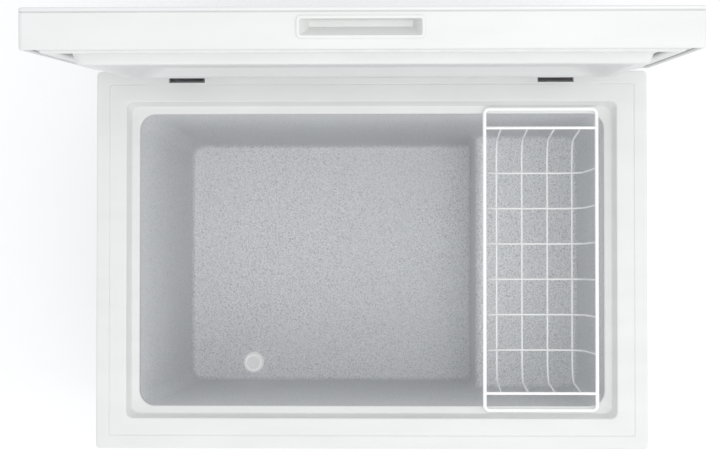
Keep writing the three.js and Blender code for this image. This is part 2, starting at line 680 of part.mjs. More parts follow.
function rollerAxle(side) {
  const r = ROLLER.axle;
  const half = ROLLER.width / 2 + 1.4 + 1.6 + GAP;
  return turnedX([[0, -half - 2], [r + 1.5, -half - 2], [r + 1.5, -half], [r, -half], [r, half],
    [r + 1.5, half],
    [r + 1.5, half + 2], [0, half + 2]], 8, side * ROLLER.x, ROLLER.y, ROLLER.radius);
}

// ---------------------------------------------------------------- cooling unit
function compressorShell() {
  const { radius: r, height: h } = COMPRESSOR;
  return turnedZ([[0, 0], [r * 0.55, 1], [r * 0.82, 9], [r - 4, 26], [r - 2, h * 0.5 - 4],
    [r + 1, h * 0.5 - 3],
    [r + 1, h * 0.5 + 2], [r - 3, h * 0.5 + 3], [r - 4, h - 38], [r * 0.84, h - 15], [r * 0.5, h - 3],
      [0, h]],
  18, COMPRESSOR.x, COMPRESSOR.y, COMPRESSOR.bottom);
}

const grommetSpots = [-1, 1].flatMap((sx) =>
  [-1, 1].map((sy) => [COMPRESSOR.x + sx * 58, COMPRESSOR.y + sy * 84]));
const plateBottom = BASE + SHEET + 14;

function compressorPlate() {
  const { x, y } = COMPRESSOR;
  const plate = solid(alongZ(roundedRectangle(x - 72, x + 72, y - 98, y + 98, 14), plateBottom,
    plateBottom + 2.5, 3));
  const cradle = turnedZ([[38, 0], [44, 0], [50, 12.6], [44, 12.6], [38, 0]], 16, x, y,
    plateBottom + 2);
  const holes = grommetSpots.map(([gx, gy]) =>
    turnedZ([[0, -5], [7.6, -5], [7.6, 9], [0, 9]], 8, gx, gy, plateBottom));
  return cut(plate.add(cradle), turnedZ([[0, -5], [30, -5], [30, 9], [0, 9]], 16, x, y, plateBottom),
    holes);
}

function grommet([x, y]) {
  const z = BASE + SHEET + GAP;
  const low = plateBottom - GAP - z;
  const high = low + 2.5 + 2 * GAP;
  return turnedZ([[3.5, 0], [11, 0], [11, low], [7, low], [7, high], [10, high], [10, high + 5],
    [3.5, high + 5],
    [3.5, 0]], 8, x, y, z);
}

function terminalCover() {
  const x = COMPRESSOR.x - 24;
  const y = COMPRESSOR.y - COMPRESSOR.radius - 1.5;
  const z = COMPRESSOR.bottom + 60;
  const cover = solid(alongZ(roundedRectangle(x, x + 48, y - 30, y + 12, 5), z, z + 52, 3));
  const swell = COMPRESSOR.radius + 1.6;
  return cut(cover, turnedZ([[0, -90], [swell, -90], [swell, 190], [0, 190]], 18, COMPRESSOR.x,
    COMPRESSOR.y, z));
}

const shellAt = (dx) => COMPRESSOR.y + Math.sqrt((COMPRESSOR.radius + 2.5) ** 2 - dx ** 2);
const drierX = condenserOut - 12;
const drierTop = MACHINE.top - 46 - GAP;

const suctionTube = () =>
  sweep(bent([[downX, evaporatorY, MACHINE.top - 25 - GAP], [downX, evaporatorY, 150],
    [285, evaporatorY, 150],
    [285, shellAt(18), 150]], 9), 3);
const dischargeTube = () =>
  sweep(bent([[330, shellAt(27), 120], [330, CONDENSER.backY, 120],
    [condenserOut, CONDENSER.backY, 120],
    [condenserOut, CONDENSER.backY, MACHINE.top - 12 - GAP]], 9), 2.4);
const filterDrier = () =>
  turnedZ([[0, -84], [2.5, -84], [2.5, -78], [9, -70], [9, -12], [2.8, -5], [2.8, 0], [0, 0]], 12,
    drierX, returnY, drierTop);
const capillaryTube = () =>
  sweep(bent([[drierX, returnY, drierTop - 84 - GAP], [drierX, returnY, 108],
    [EVAPORATOR.nearX, returnY, 108],
    [EVAPORATOR.nearX, returnY, 205], [EVAPORATOR.nearX, evaporatorY, 205],
    [EVAPORATOR.nearX, evaporatorY, MACHINE.top - 25 - GAP]], 8), 1.5, 5);

// ---------------------------------------------------------------- hinges
const pinHole = (x, radius) =>
  turnedX([[0, -40], [radius, -40], [radius, 40], [0, 40]], 12, x, HINGE.y, RIM + HINGE.z);

// The fixed half: a channel let into the well of the collar, with a plate down the back.
function hingeBase(side) {
  const x = side * HINGE.x;
  const half = HINGE.width / 2;
  const t = HINGE.sheet;
  const front = POCKET.front + GAP + 0.3;
  const floor = RIM - POCKET.depth + GAP;
  const axis = RIM + HINGE.z;
  const back = HALF.y + GAP + 0.3;
  const ear = new THREE.Shape();
  ear.moveTo(front, floor).lineTo(HINGE.y + HINGE.knuckle, floor).lineTo(HINGE.y + HINGE.knuckle, axis);
  ear.absarc(HINGE.y, axis, HINGE.knuckle, 0, Math.PI).lineTo(HINGE.y - HINGE.knuckle,
    RIM - 1).lineTo(front, RIM - 1);
  const ears = [x - half, x + half - t].map((x0) => alongX(ear, x0, x0 + t, 4));
  const web = box(x - half, x + half, front, front + t, floor, RIM - 1);
  const bed = box(x - half, x + half, front, back + t, floor, floor + t);
  const plate = box(x - half - 12, x + half + 12, back, back + t, RIM - 86, floor + t);
  const pads = [-1, 1].map((k) => peg(5, panelBack + SHEET + GAP, back + 1, x + k * 24, RIM - 66));
  return cut(join([...ears, web, bed, plate, ...pads]), pinHole(x, HINGE.pin + GAP));
}

function hingePin(side) {
  const half = HINGE.width / 2 + GAP;
  const r = HINGE.pin;
  return turnedX([[0, -half - 1.8], [r + 1.6, -half - 1.8], [r + 1.6, -half], [r, -half], [r, half],
    [r + 1.2, half],
    [r + 1.2, half + 1.5], [0, half + 1.5]], 12, side * HINGE.x, HINGE.y, RIM + HINGE.z);
}

// The counterbalance spring: a close coil round the pin.
function hingeSpring(side) {
  const turns = 4;
  const perTurn = 8;
  const coil = HINGE.pin + 2.4;
  const pitch = 3;
  const points = [];
  for (let k = 0; k <= turns * perTurn; k++) {
    const angle = (2 * Math.PI * k) / perTurn;
    const x = side * HINGE.x + (k / perTurn - turns / 2) * pitch;
    points.push(new THREE.Vector3(x, HINGE.y + coil * Math.cos(angle),
      RIM + HINGE.z + coil * Math.sin(angle)));
  }
  return sweep(points, 1, 4);
}

// The moving half, drawn with the lid shut: a plate under the lid's back margin and two cheeks.
function hingeLeaf(side) {
  const x = side * HINGE.x;
  const t = HINGE.sheet;
  const half = HINGE.width / 2 - t - 2;
  const axis = RIM + HINGE.z;
  const plateTop = RIM + LID.clear - GAP;
  const plate = box(x - half, x + half, HALF.y - 18.4, HALF.y - 0.5, plateTop - t, plateTop);
  const cheek = new THREE.Shape();
  cheek.moveTo(HALF.y - 16, plateTop).lineTo(HALF.y - 8, RIM - 6).lineTo(HALF.y + 4, RIM - 8.5);
  cheek.lineTo(HINGE.y + 6, RIM - 5).lineTo(HINGE.y + HINGE.knuckle, axis);
  cheek.absarc(HINGE.y, axis, HINGE.knuckle, 0, Math.PI).lineTo(HINGE.y - HINGE.knuckle, plateTop);
  const cheeks = [x - half, x + half - t].map((x0) => alongX(cheek, x0, x0 + t, 4));
  const web = box(x - half, x + half, HALF.y + 4, HINGE.y + 5, RIM - 7.5, RIM - 6);
  return cut(join([plate, ...cheeks, web]), pinHole(x, HINGE.pin + GAP));
}

// ---------------------------------------------------------------- lid, drawn shut
const lidBottom = RIM + LID.clear;
const lidTop = lidBottom + LID.thickness;
const seamTop = lidTop - 5.4;

function lidTopPanel() {
  const e = LID.edge;
  const t = SHEET;
  return loft([inset(e + 40, 6, lidTop), inset(e, 5, lidTop), inset(0.9, 5.5, lidTop - 0.9),
    inset(0, 6, lidTop - e),
    inset(0, 6, seamTop), inset(t, 5.4, seamTop), inset(t, 5.4, lidTop - e),
      inset(1.5, 5, lidTop - 1.6),
    inset(e, 4.6, lidTop - t), inset(e + 40, 5, lidTop - t)], false);
}

const handleFace = (grow) =>
  roundedRectangle(-HANDLE.width / 2 - grow, HANDLE.width / 2 + grow,
    RIM + HANDLE.centre - HANDLE.height / 2 - grow,
    RIM + HANDLE.centre + HANDLE.height / 2 + grow, HANDLE.corner + grow);

// The finger scoop: wide at its mouth, and drawn in to a short deep end under the lid's top.
function scoop(grow) {
  const z = RIM + HANDLE.centre;
  const mouthX = HANDLE.width / 2 - HANDLE.rim + grow;
  const mouthZ = HANDLE.height / 2 - HANDLE.rim + grow;
  const y0 = -HALF.y - 6;
  const rectangle = (hx, z0, z1, y) =>
    [[-hx, z0], [hx, z0], [hx, z1], [-hx, z1]].map(([px, pz]) => new THREE.Vector3(px, y, pz));
  return loft([rectangle(mouthX, z - mouthZ, z + mouthZ, y0),
    rectangle(mouthX, z - mouthZ, z + mouthZ, -HALF.y + 1),
    rectangle(mouthX - 10, z + mouthZ - 8 - grow, z + mouthZ, -HALF.y + HANDLE.depth + grow)], false);
}

function lidFrame() {
  const w = LID.frameWall;
  const loops = [[0, 6, 2.4], [0.7, 5.6, 0.7], [2.4, 5, 0], [4.2, 4, 0.7], [4.8, 4, 2.4], [4.2, 4, 4.4],
    [w, 4, 6.4],
    [w, 4, LID.thickness - 2.4], [w - 1.1, 4.6, LID.thickness - 2.4],
      [w - 1.1, 4.6, LID.thickness - 5.4 - LID.seam],
    [0, 6, LID.thickness - 5.4 - LID.seam]];
  const ring = loft(loops.map(([s, r, z]) => inset(s, r, lidBottom + z)), true);
  return cut(ring, alongY(handleFace(-1.2), -HALF.y - 2, -HALF.y + 9, 3));
}

function lidHandle() {
  const plate = alongY(handleFace(0), -HALF.y - GAP - 1.2, -HALF.y - GAP, 3);
  const pocketBody = scoop(1.4).intersect(box(-90, 90, -HALF.y - GAP - 1, 0, 0, RIM + 90));
  return cut(plate.add(pocketBody), scoop(0));
}

// The white inner panel: margin, gasket seat, then a raised rim round a shallow dish.
const panelLine = [[5.4, 4, 3.6], [18, 4, 3.6], [19.5, 5, 4.4], [36, 6, 4.4], [38, 6, 3.2],
  [49, 9, 2.6],
  [51, 10, 0.5], [56, 13, -LID.plugDrop + 2], [59, 15, -LID.plugDrop], [74, 18, -LID.plugDrop],
  [80, 22, -LID.plugDrop + 2.4], [96, 28, -1.5], [106, 30, 0.4]];

function lidInnerPanel() {
  const lower = panelLine.map(([s, r, z]) => inset(s, r, lidBottom + z));
  const upper = panelLine.map(([s, r, z]) => inset(s + (s > 49 && s < 60 ? 1.6 : s > 75 ? -0.9 : 0), r,
    lidBottom + z + LID.panel));
  return loft([...lower.reverse(), ...upper], false);
}

function lidFoam() {
  const w = LID.frameWall + GAP;
  const raise = LID.panel + GAP;
  const lower = panelLine.slice(1).map(([s, r, z]) =>
    inset(s + (s > 49 && s < 60 ? 2.1 : s > 75 ? -1.2 : 0), r,
    lidBottom + z + raise));
  const outline = [inset(w, 4, lidBottom + 7), inset(w, 4, lidTop - SHEET - 2.4),
    inset(w + 2, 4, lidTop - SHEET - GAP),
    inset(60, 4, lidTop - SHEET - GAP)];
  const body = loft([...lower.reverse(), inset(6.4, 4, lidBottom + 3.6 + raise), ...outline], false);
  return cut(body, scoop(1.4 + GAP));
}

function lidGasket() {
  const line = [[19.8, 5, 3.9], [19.8, 5, -0.2], [21.6, 5.5, -2.4], [26, 6, -2.7], [33.4, 7, -2.7],
    [35.4, 7, -1.6],
    [35.4, 7, 0.6], [32.6, 7, 1.6], [32.6, 7, 3.9]];
  return loft(line.map(([s, r, z]) => inset(s, r, lidBottom + z)), true);
}

// ---------------------------------------------------------------- basket
// One thick wire loops round and hangs on the ledge, two bars cross it, and a mesh hangs below.
function wireBasket() {
  const b = BASKET;
  const loopRadius = b.loopWire / 2;
  const z = RIM - COLLAR.ledgeDrop + GAP + loopRadius;
  const bottom = z - b.depth;
  const middle = (b.left + b.right) / 2;
  const halfLoop = (side) => {
    const past = middle - Math.sign(side - middle); // the halves run 1 mm into each other
    return sweep(bent([[past, -b.end, z], [side, -b.end, z], [side, b.end, z], [past, b.end, z]],
      b.corner), loopRadius);
  };
  const bar = (y) =>
    turnedX([[0, b.left], [b.barWire / 2, b.left], [b.barWire / 2, b.right], [0, b.right]], 8, 0, y, z);
  const mesh = (corners) => sweep(bent(corners, b.bend), b.meshWire / 2, 5);
  const long = (x) =>
    mesh([[x, b.front, z], [x, b.front + b.taper, bottom], [x, b.back - b.taper, bottom],
      [x, b.back, z]]);
  const low = bottom + b.meshWire - 0.4; // the cross wires are welded on top of the long ones
  const cross = (y) =>
    mesh([[b.left, y, z], [b.left + b.taper, y, low], [b.right - b.taper, y, low], [b.right, y, z]]);
  const crossAt = Array.from({ length: BASKET_CROSS_WIRES.count }, (_, k) =>
    BASKET_CROSS_WIRES.first + k * BASKET_CROSS_WIRES.pitch);
  return join([halfLoop(b.left), halfLoop(b.right), bar(b.front), bar(b.back),
    ...BASKET_LONG_WIRES.map(long), ...crossAt.map(cross)]);
}

// ---------------------------------------------------------------- assembly
function meshOf(name, made, material) {
  const { vertProperties, triVerts } = made.getMesh();
  const geometry = new THREE.BufferGeometry();
  geometry.setAttribute("position", new THREE.Float32BufferAttribute(vertProperties, 3));
  geometry.setIndex(new THREE.Uint32BufferAttribute(triVerts, 1));
  geometry.computeVertexNormals();
  const mesh = new THREE.Mesh(geometry, material);
  mesh.name = name;
  return mesh;
}

const SIDES = [["left", -1], ["right", 1]];
const pair = (name, make, material) =>
  SIDES.map(([word, side]) => [`${name}_${word}`, make(side), material]);

const cabinetPieces = [
  ["outer_wrap", outerWrap(), WHITE_STEEL],
  ["back_panel", backPanel(), ZINC],
  ["base_pan", basePan(), ZINC],
  ["rim_collar", rimCollar(), WHITE_PLASTIC],
  ["inner_liner", innerLiner(), STUCCO],
  ["cabinet_foam", cabinetFoam(), FOAM],
  ["condenser_coil", condenserCoil(), COPPER],
  ["evaporator_coil", evaporatorCoil(), COPPER],
  ["side_vent_grille", sideVentGrille(), WHITE_PLASTIC],
  ["rear_cover", rearCover(), ZINC],
  ...coverScrews.map((spot, k) => [`rear_cover_screw_${k + 1}`, coverScrew(spot), ZINC]),
  ["control_bezel", controlBezel(), GREY_PLASTIC],
  ["thermostat_body", thermostatBody(), BLACK_STEEL],
  ["thermostat_knob", thermostatKnob(), WHITE_PLASTIC],
  ["power_lens", lens(11), GREEN_LENS],
  ["warning_lens", lens(-11), RED_LENS],
  ["cord_gland", cordGland(), RUBBER],
  ["drain_tube", drainTube(), GREY_PLASTIC],
  ["drain_plug", drainPlug(), WHITE_PLASTIC],
  ["drain_cap", drainCap(), WHITE_PLASTIC],
  ...pair("levelling_foot", levellingFoot, RUBBER),
  ...pair("roller", roller, RUBBER),
  ...pair("roller_bracket", rollerBracket, ZINC),
  ...pair("roller_axle", rollerAxle, ZINC),
  ...pair("hinge_base", hingeBase, DARK_STEEL),
  ...pair("hinge_pin", hingePin, ZINC),
  ...pair("hinge_spring", hingeSpring, DARK_STEEL),
  ["compressor_shell", compressorShell(), BLACK_STEEL],
  ["compressor_plate", compressorPlate(), BLACK_STEEL],
  ...grommetSpots.map((spot, k) => [`compressor_grommet_${k + 1}`, grommet(spot), RUBBER]),
  ["compressor_terminal_cover", terminalCover(), BLACK_STEEL],
  ["filter_drier", filterDrier(), COPPER],
  ["suction_tube", suctionTube(), COPPER],
  ["discharge_tube", dischargeTube(), COPPER],
  ["capillary_tube", capillaryTube(), COPPER],
  ["wire_basket", wireBasket(), WIRE],
];
const lidPieces = [
  ["lid_top_panel", lidTopPanel(), WHITE_STEEL],
  ["lid_frame", lidFrame(), WHITE_PLASTIC],
  ["lid_handle", lidHandle(), WHITE_PLASTIC],
  ["lid_foam", lidFoam(), FOAM],
  ["lid_inner_panel", lidInnerPanel(), WHITE_PLASTIC],
  ["lid_gasket", lidGasket(), GASKET],
  ...pair("hinge_leaf", hingeLeaf, ZINC),
];

const freezer = new THREE.Group();
for (const piece of cabinetPieces) freezer.add(meshOf(...piece));

// The lid is drawn shut, and its group swings it up about the hinge pins.
const lid = new THREE.Group();
lid.position.set(0, HINGE.y, RIM + HINGE.z);
lid.rotation.x = -THREE.MathUtils.degToRad(LID.openAngle);
const lidFromAxis = new THREE.Group();
lidFromAxis.position.set(0, -HINGE.y, -(RIM + HINGE.z));
for (const piece of lidPieces) lidFromAxis.add(meshOf(...piece));
lid.add(lidFromAxis);
freezer.add(lid);

freezer.updateMatrixWorld(true);
const reach = new THREE.Box3().setFromObject(freezer, true);
const middle = reach.getCenter(new THREE.Vector3());
freezer.position.set(-middle.x, -middle.y, -reach.min.z);

export default freezer;
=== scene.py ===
"""A household chest freezer with its lid standing open: the fine surfaces and finishes.

Every shape is worked out in millimetres about the middle of the cabinet, with z = 0 on the
floor and x to the right of a person at the front, and is set down in the row frame in metres.
"""

import json
import math

import bmesh
import bpy
import numpy as np
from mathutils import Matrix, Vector

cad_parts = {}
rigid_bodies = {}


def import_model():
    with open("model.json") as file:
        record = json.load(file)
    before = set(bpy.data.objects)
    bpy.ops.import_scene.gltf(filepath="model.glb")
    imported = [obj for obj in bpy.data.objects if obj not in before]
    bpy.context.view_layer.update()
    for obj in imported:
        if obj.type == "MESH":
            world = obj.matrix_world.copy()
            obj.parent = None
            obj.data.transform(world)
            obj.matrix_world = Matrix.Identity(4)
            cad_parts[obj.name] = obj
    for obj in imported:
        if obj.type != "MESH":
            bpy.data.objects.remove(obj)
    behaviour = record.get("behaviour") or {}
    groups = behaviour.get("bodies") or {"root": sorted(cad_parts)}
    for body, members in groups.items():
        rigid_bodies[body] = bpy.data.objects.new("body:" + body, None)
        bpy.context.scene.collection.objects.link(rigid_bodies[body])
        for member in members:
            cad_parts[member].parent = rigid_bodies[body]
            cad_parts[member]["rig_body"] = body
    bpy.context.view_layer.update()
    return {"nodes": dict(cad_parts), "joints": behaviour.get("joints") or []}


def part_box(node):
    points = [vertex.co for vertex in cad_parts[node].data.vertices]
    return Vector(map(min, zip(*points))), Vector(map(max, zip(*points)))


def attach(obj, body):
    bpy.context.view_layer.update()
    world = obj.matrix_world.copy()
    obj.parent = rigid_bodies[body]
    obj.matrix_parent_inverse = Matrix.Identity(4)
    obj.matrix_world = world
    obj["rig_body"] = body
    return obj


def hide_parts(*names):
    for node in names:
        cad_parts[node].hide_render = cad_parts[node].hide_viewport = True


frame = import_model()
scene = bpy.context.scene

# ------------------------------------------------------------------ sizes, in millimetres
collar_low, collar_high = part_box("rim_collar")
MIDDLE_Y = 500 * (collar_low.y + collar_high.y)
RIM = 1000 * collar_high.z
HALF_X = 500 * (collar_high.x - collar_low.x)
HALF_Y = 500 * (collar_high.y - collar_low.y)
hinge_joint = next(joint for joint in frame["joints"] if joint["name"] == "lid_hinge")
HINGE_Y = 1000 * hinge_joint["pos_m"][1] - MIDDLE_Y
HINGE_Z = 1000 * hinge_joint["pos_m"][2]
OPENED = math.radians(-hinge_joint["range_deg"][0])
HINGE_X = 268.0
WELL_X = (242.0, 294.0)
WELL_DEPTH = 15.0
WELL_REACH = 16.5
SHEET = 0.8
GAP = 0.3
WRAP_X = HALF_X - 2.3
WRAP_Y = HALF_Y - 2.3
WRAP_BOTTOM = 30.0
WRAP_TOP = RIM - 4
TUB_X = HALF_X - 59.3
TUB_Y = HALF_Y - 59.3
TUB_TOP = RIM - 24
TUB_CORNER = 24
FOOT_BEND = 9
CREST = 12
FLOOR = 85.0
HUMP_X = 167.0
HUMP_TOP = 310.0
DRAIN = (-228.0, -182.0)
DRAIN_TUBE_Z = 57
LID_BOTTOM = RIM + 3
HANDLE_Z = RIM + 28.9
BASKET_X = (165.5, 328.7)
BASKET_END = 219.5
BASKET_BARS = (-194.7, 192.0)
BASKET_DEPTH = 162
LOOP_RADIUS, BAR_RADIUS, MESH_RADIUS = 2.75, 2.2, 1.5
CONTROL = (318.0, 90.0)
KNOB_X = 340
LENS_X = 285
LENS_RISE = 11
PANEL_Y = -WRAP_Y - GAP
VENT = (95, 125)
VENT_HALF = (82, 52)
COMPRESSOR = (303.0, 95.0, 62.0)
COMPRESSOR_FEET = (58, 84)
COVER = (300, 155)
COVER_SCREWS = (80, 100)
COVER_FACE = WRAP_Y + GAP + 1 + GAP
GLAND = (248, 81)
FOOT = (350, -225)
ROLLER = (350, 215, 12)


# ------------------------------------------------------------------ camera, light and floor
def set_the_camera():
    """High over the cabinet, a little to its right, looking down with the back at the top."""
    data = bpy.data.cameras.new("view_from_above")
    data.lens = 96.5
    data.sensor_width = 36
    data.clip_start = 0.1
    data.clip_end = 60
    camera = bpy.data.objects.new("view_from_above", data)
    place, target = Vector((0.058, -0.038, 3.6)), Vector((-0.0158, 0.0312, 0.8))
    look = (target - place).normalized()
    camera.location = place
    camera.rotation_euler = (math.asin(look.y), math.atan2(-look.x, -look.z), 0)
    scene.collection.objects.link(camera)
    scene.camera = camera


def softbox(name, place, target, size, watts, tint=(1, 1, 1)):
    """A soft rectangular lamp that points at a target."""
    data = bpy.data.lights.new(name, "AREA")
    data.shape = "RECTANGLE"
    data.size, data.size_y = size
    data.energy = watts
    data.color = tint
    lamp = bpy.data.objects.new(name, data)
    lamp.location = place
    lamp.rotation_euler = (Vector(target) - Vector(place)).to_track_quat("-Z", "Y").to_euler()
    scene.collection.objects.link(lamp)


def light_the_studio():
    """Even pale surroundings, with one large lamp above, one at the right and one in front."""
    world = bpy.data.worlds.new("studio")
    world.use_nodes = True
    background = world.node_tree.nodes["Background"]
    background.inputs["Color"].default_value = (0.96, 0.98, 1.0, 1)
    background.inputs["Strength"].default_value = 0.87
    scene.world = world
    softbox("overhead_box", (0.6, -0.45, 4.7), (0, 0, 0.6), (2.4, 2.0), 33, (1, 0.997, 0.99))
    softbox("right_box", (3.2, -0.4, 3.4), (0, 0, 0.6), (1.8, 2.4), 21)
    softbox("front_box", (-0.4, -3.8, 2.6), (0, 0, 0.9), (2.6, 1.6), 9, (0.99, 0.995, 1))


set_the_camera()
light_the_studio()
scene.view_settings.view_transform = "Standard"


# ------------------------------------------------------------------ finishes
class Flow:
    """A number on a shader socket. Sums written with it add the Math nodes they need."""

    def __init__(self, recipe, socket):
        self.recipe = recipe
        self.socket = socket

    def _sum(self, operation, *terms):
        """The number that one Math node makes of the terms."""
        made = self.recipe.node("ShaderNodeMath", {"operation": operation}, dict(enumerate(terms)))
        return Flow(self.recipe, made.outputs[0])

    def __add__(self, other):
        return self._sum("ADD", self, other)

    __radd__ = __add__

    def __sub__(self, other):
        return self._sum("SUBTRACT", self, other)

    def __rsub__(self, other):
        return self._sum("SUBTRACT", other, self)

    def __mul__(self, other):
        return self._sum("MULTIPLY", self, other)

    __rmul__ = __mul__

    def spread(self, low, high):
        """0 where the number is low or less, 1 where it is high or more, straight between."""
        limits = {"From Min": low, "From Max": high}
        made = self.recipe.node("ShaderNodeMapRange", {"clamp": True}, {"Value": self, **limits})
        return Flow(self.recipe, made.outputs[0])


class Recipe:
    """One procedural finish: a Principled shader fed from patterns on Object coordinates."""

    def __init__(self, name, **constants):
        self.material = bpy.data.materials.new(name)
        self.material.use_nodes = True
        self.tree = self.material.node_tree
        self.tree.nodes.clear()
        self.shader = self.node("ShaderNodeBsdfPrincipled", {}, constants)
        self.node("ShaderNodeOutputMaterial", {}, {"Surface": self.shader.outputs[0]})
        self.place = self.node("ShaderNodeTexCoord", {}, {}).outputs["Object"]

    def node(self, kind, settings, values):
        """A node with its settings, and a link or a constant for each input named."""
        made = self.tree.nodes.new(kind)
        for key, value in settings.items():
            setattr(made, key, value)
        for key, value in values.items():
            socket = made.inputs[key]
            if isinstance(value, Flow):
                value = value.socket
            if isinstance(value, bpy.types.NodeSocket):
                self.tree.links.new(value, socket)
            elif isinstance(value, tuple) and len(value) == 3 and socket.type == "RGBA":
                socket.default_value = (*value, 1)
            else:
                socket.default_value = value
        return made

    def feed(self, **inputs):
        """Joins a number or colour that changes over the surface to the shader."""
        for name, value in inputs.items():
            socket = value.socket if isinstance(value, Flow) else value
            self.tree.links.new(socket, self.shader.inputs[name.replace("_", " ")])

    def stretched(self, x, y, z):
        """The place, scaled on each axis, for patterns that are longer one way."""
        made = self.node("ShaderNodeMapping", {}, {"Vector": self.place, "Scale": (x, y, z)})
        return made.outputs[0]

    def clouds(self, per_metre, detail=3.0, roughness=0.5, at=None):
        """Soft noise from 0 to 1."""
        values = {"Vector": at or self.place, "Scale": per_metre, "Detail": detail,
                  "Roughness": roughness}
        return Flow(self, self.node("ShaderNodeTexNoise", {}, values).outputs[0])

    def cells(self, per_metre, feature="F1", at=None, output="Distance"):
        """Scattered cells: the distance from the middle of each, or a colour for each."""
        values = {"Vector": at or self.place, "Scale": per_metre}
        made = self.node("ShaderNodeTexVoronoi", {"feature": feature}, values)
        return Flow(self, made.outputs[output])

    def blend(self, share, first, second):
        """A colour between two, by a share from 0 to 1."""
        settings = {"data_type": "RGBA", "clamp_factor": True}
        made = self.node("ShaderNodeMix", settings, {0: share, 6: first, 7: second})
        return made.outputs[2]

    def relief(self, height, depth, strength):
        """A Bump node: a height from 0 to 1 that stands depth metres high."""
        values = {"Height": height, "Distance": depth, "Strength": strength}
        return self.node("ShaderNodeBump", {}, values).outputs[0]


def sprayed_enamel():
    """White enamel on sheet steel: a faint orange peel, and a dusting of dull patches."""
    r = Recipe("sprayed_enamel", **{"Coat Weight": 0.35, "Coat Roughness": 0.12})
    wide = r.clouds(5, 3)
    peel = r.clouds(420, 2, 0.45)
    colour = r.blend(wide.spread(0.3, 0.7), (0.755, 0.76, 0.755), (0.79, 0.795, 0.785))
    r.feed(Base_Color=colour, Roughness=0.3 + 0.12 * r.clouds(38, 4, 0.6))
    r.feed(Normal=r.relief(peel, 0.00006, 0.35))
    return r.material


def moulded_white(name, dark, light, painted_glow=0.0):
    """Satin white plastic from a mould: a very fine grain, slight flow marks, softer gloss, and
    for a piece that lies deep in the tub a faint painted glow, lifting it out of the tub's shade."""
    # Any emission here is a painted glow: the plastic gives no light of its own.
    r = Recipe(name, **{"IOR": 1.49, "Emission Strength": painted_glow, "Emission Color": (1, 1, 1)})
    grain = r.clouds(900, 3, 0.6)
    flow = r.clouds(9, 3, 0.5, r.stretched(1, 3, 1))
    colour = r.blend(flow.spread(0.32, 0.68), dark, light)
    r.feed(Base_Color=colour, Roughness=0.36 + 0.14 * r.clouds(60, 3))
    r.feed(Normal=r.relief(grain, 0.00004, 0.3))
    return r.material


def stucco_sheet():
    """Embossed aluminium: close, rounded, worm-like bumps a few millimetres across, with a painted
    highlight on their crowns and painted shade between them, rougher between, and with wide cloudy patches
    from rolling and handling."""
    r = Recipe("stucco_sheet", **{"Metallic": 0.2})
    drift = r.node("ShaderNodeTexNoise", {}, {"Vector": r.place, "Scale": 150.0}).outputs[1]
    warp = r.node("ShaderNodeVectorMath", {"operation": "SCALE"}, {0: drift, "Scale": 0.005})
    bent = r.node("ShaderNodeVectorMath", {"operation": "ADD"}, {0: r.place, 1: warp.outputs[0]})
    at = bent.outputs[0]
    pebbles = 1 - r.cells(450, "SMOOTH_F1", at).spread(0.05, 0.75)
    height = 0.75 * pebbles + 0.25 * r.clouds(800, 2, 0.5, at)
    patches = r.clouds(5, 4, 0.55)
    # The colour runs from grey in the hollows to near white on the crowns: painted shade and painted
    # highlight over the emboss.
    crown_highlight_and_hollow_shade = r.blend(height.spread(0.14, 0.75), (0.64, 0.65, 0.672), (0.985, 0.988, 0.99))
    colour = r.blend(patches.spread(0.35, 0.7) * 0.35, crown_highlight_and_hollow_shade, (0.88, 0.888, 0.90))
    r.feed(Base_Color=colour, Roughness=0.42 + 0.14 * (1 - height) + 0.06 * patches)
    r.feed(Normal=r.relief(height, 0.0004, 0.7))
    return r.material


def zinc_sheet():
    """Galvanised steel with its spangle: flakes of slightly different grey and gloss."""
    r = Recipe("zinc_sheet", **{"Metallic": 1.0})
    flake = r.cells(85, "F1", None, "Color")
    shade = Flow(r, r.node("ShaderNodeSeparateColor", {}, {0: flake}).outputs[0])
    colour = r.blend(shade, (0.43, 0.44, 0.45), (0.60, 0.61, 0.62))
    r.feed(Base_Color=colour, Roughness=0.33 + 0.15 * shade + 0.1 * r.clouds(200, 3))
    r.feed(Normal=r.relief(r.clouds(700, 2), 0.00004, 0.3))
    return r.material


def plain_metal(name, dark, light, rough):
    """Drawn or pressed metal: fine marks along one way, and tarnish in soft patches."""
    r = Recipe(name, **{"Metallic": 1.0})
    drawn = r.clouds(260, 3, 0.6, r.stretched(0.12, 1, 1))
    patches = r.clouds(34, 4, 0.6)
    r.feed(Base_Color=r.blend((patches * 0.6 + drawn * 0.4).spread(0.3, 0.7), dark, light))
    r.feed(Roughness=rough + 0.18 * patches)
    r.feed(Normal=r.relief(drawn, 0.00004, 0.4))
    return r.material


def black_enamel():
    """The compressor's black baked paint, slightly lumpy and dusty on top."""
    r = Recipe("black_enamel", **{"Coat Weight": 0.2, "Coat Roughness": 0.2})
    dust = r.clouds(46, 4, 0.65)
    r.feed(Base_Color=r.blend(dust.spread(0.45, 0.8), (0.012, 0.012, 0.013), (0.05, 0.05, 0.052)))
    r.feed(Roughness=0.38 + 0.25 * dust, Normal=r.relief(r.clouds(300, 2), 0.0001, 0.4))
    return r.material


def poured_foam():
    """Rigid foam: pale yellow, full of small pores, darker skin in patches."""
    r = Recipe("poured_foam", Roughness=0.9)
    pores = r.cells(700)
    skin = r.clouds(30, 5, 0.6)
    r.feed(Base_Color=r.blend(skin.spread(0.3, 0.7), (0.70, 0.60, 0.34), (0.84, 0.76, 0.50)))
    r.feed(Normal=r.relief(pores.spread(0.1, 0.6), 0.0006, 0.6))
    return r.material


def soft_plastic(name, low, high, rough, grain=800):
    """Rubber, vinyl or matt plastic: an even colour with a bloom, and a fine skin grain."""
    r = Recipe(name)
    bloom = r.clouds(40, 4, 0.6)
    r.feed(Base_Color=r.blend(bloom.spread(0.35, 0.7), low, high), Roughness=rough + 0.2 * bloom)
    r.feed(Normal=r.relief(r.clouds(grain, 3), 0.00006, 0.4))
    return r.material


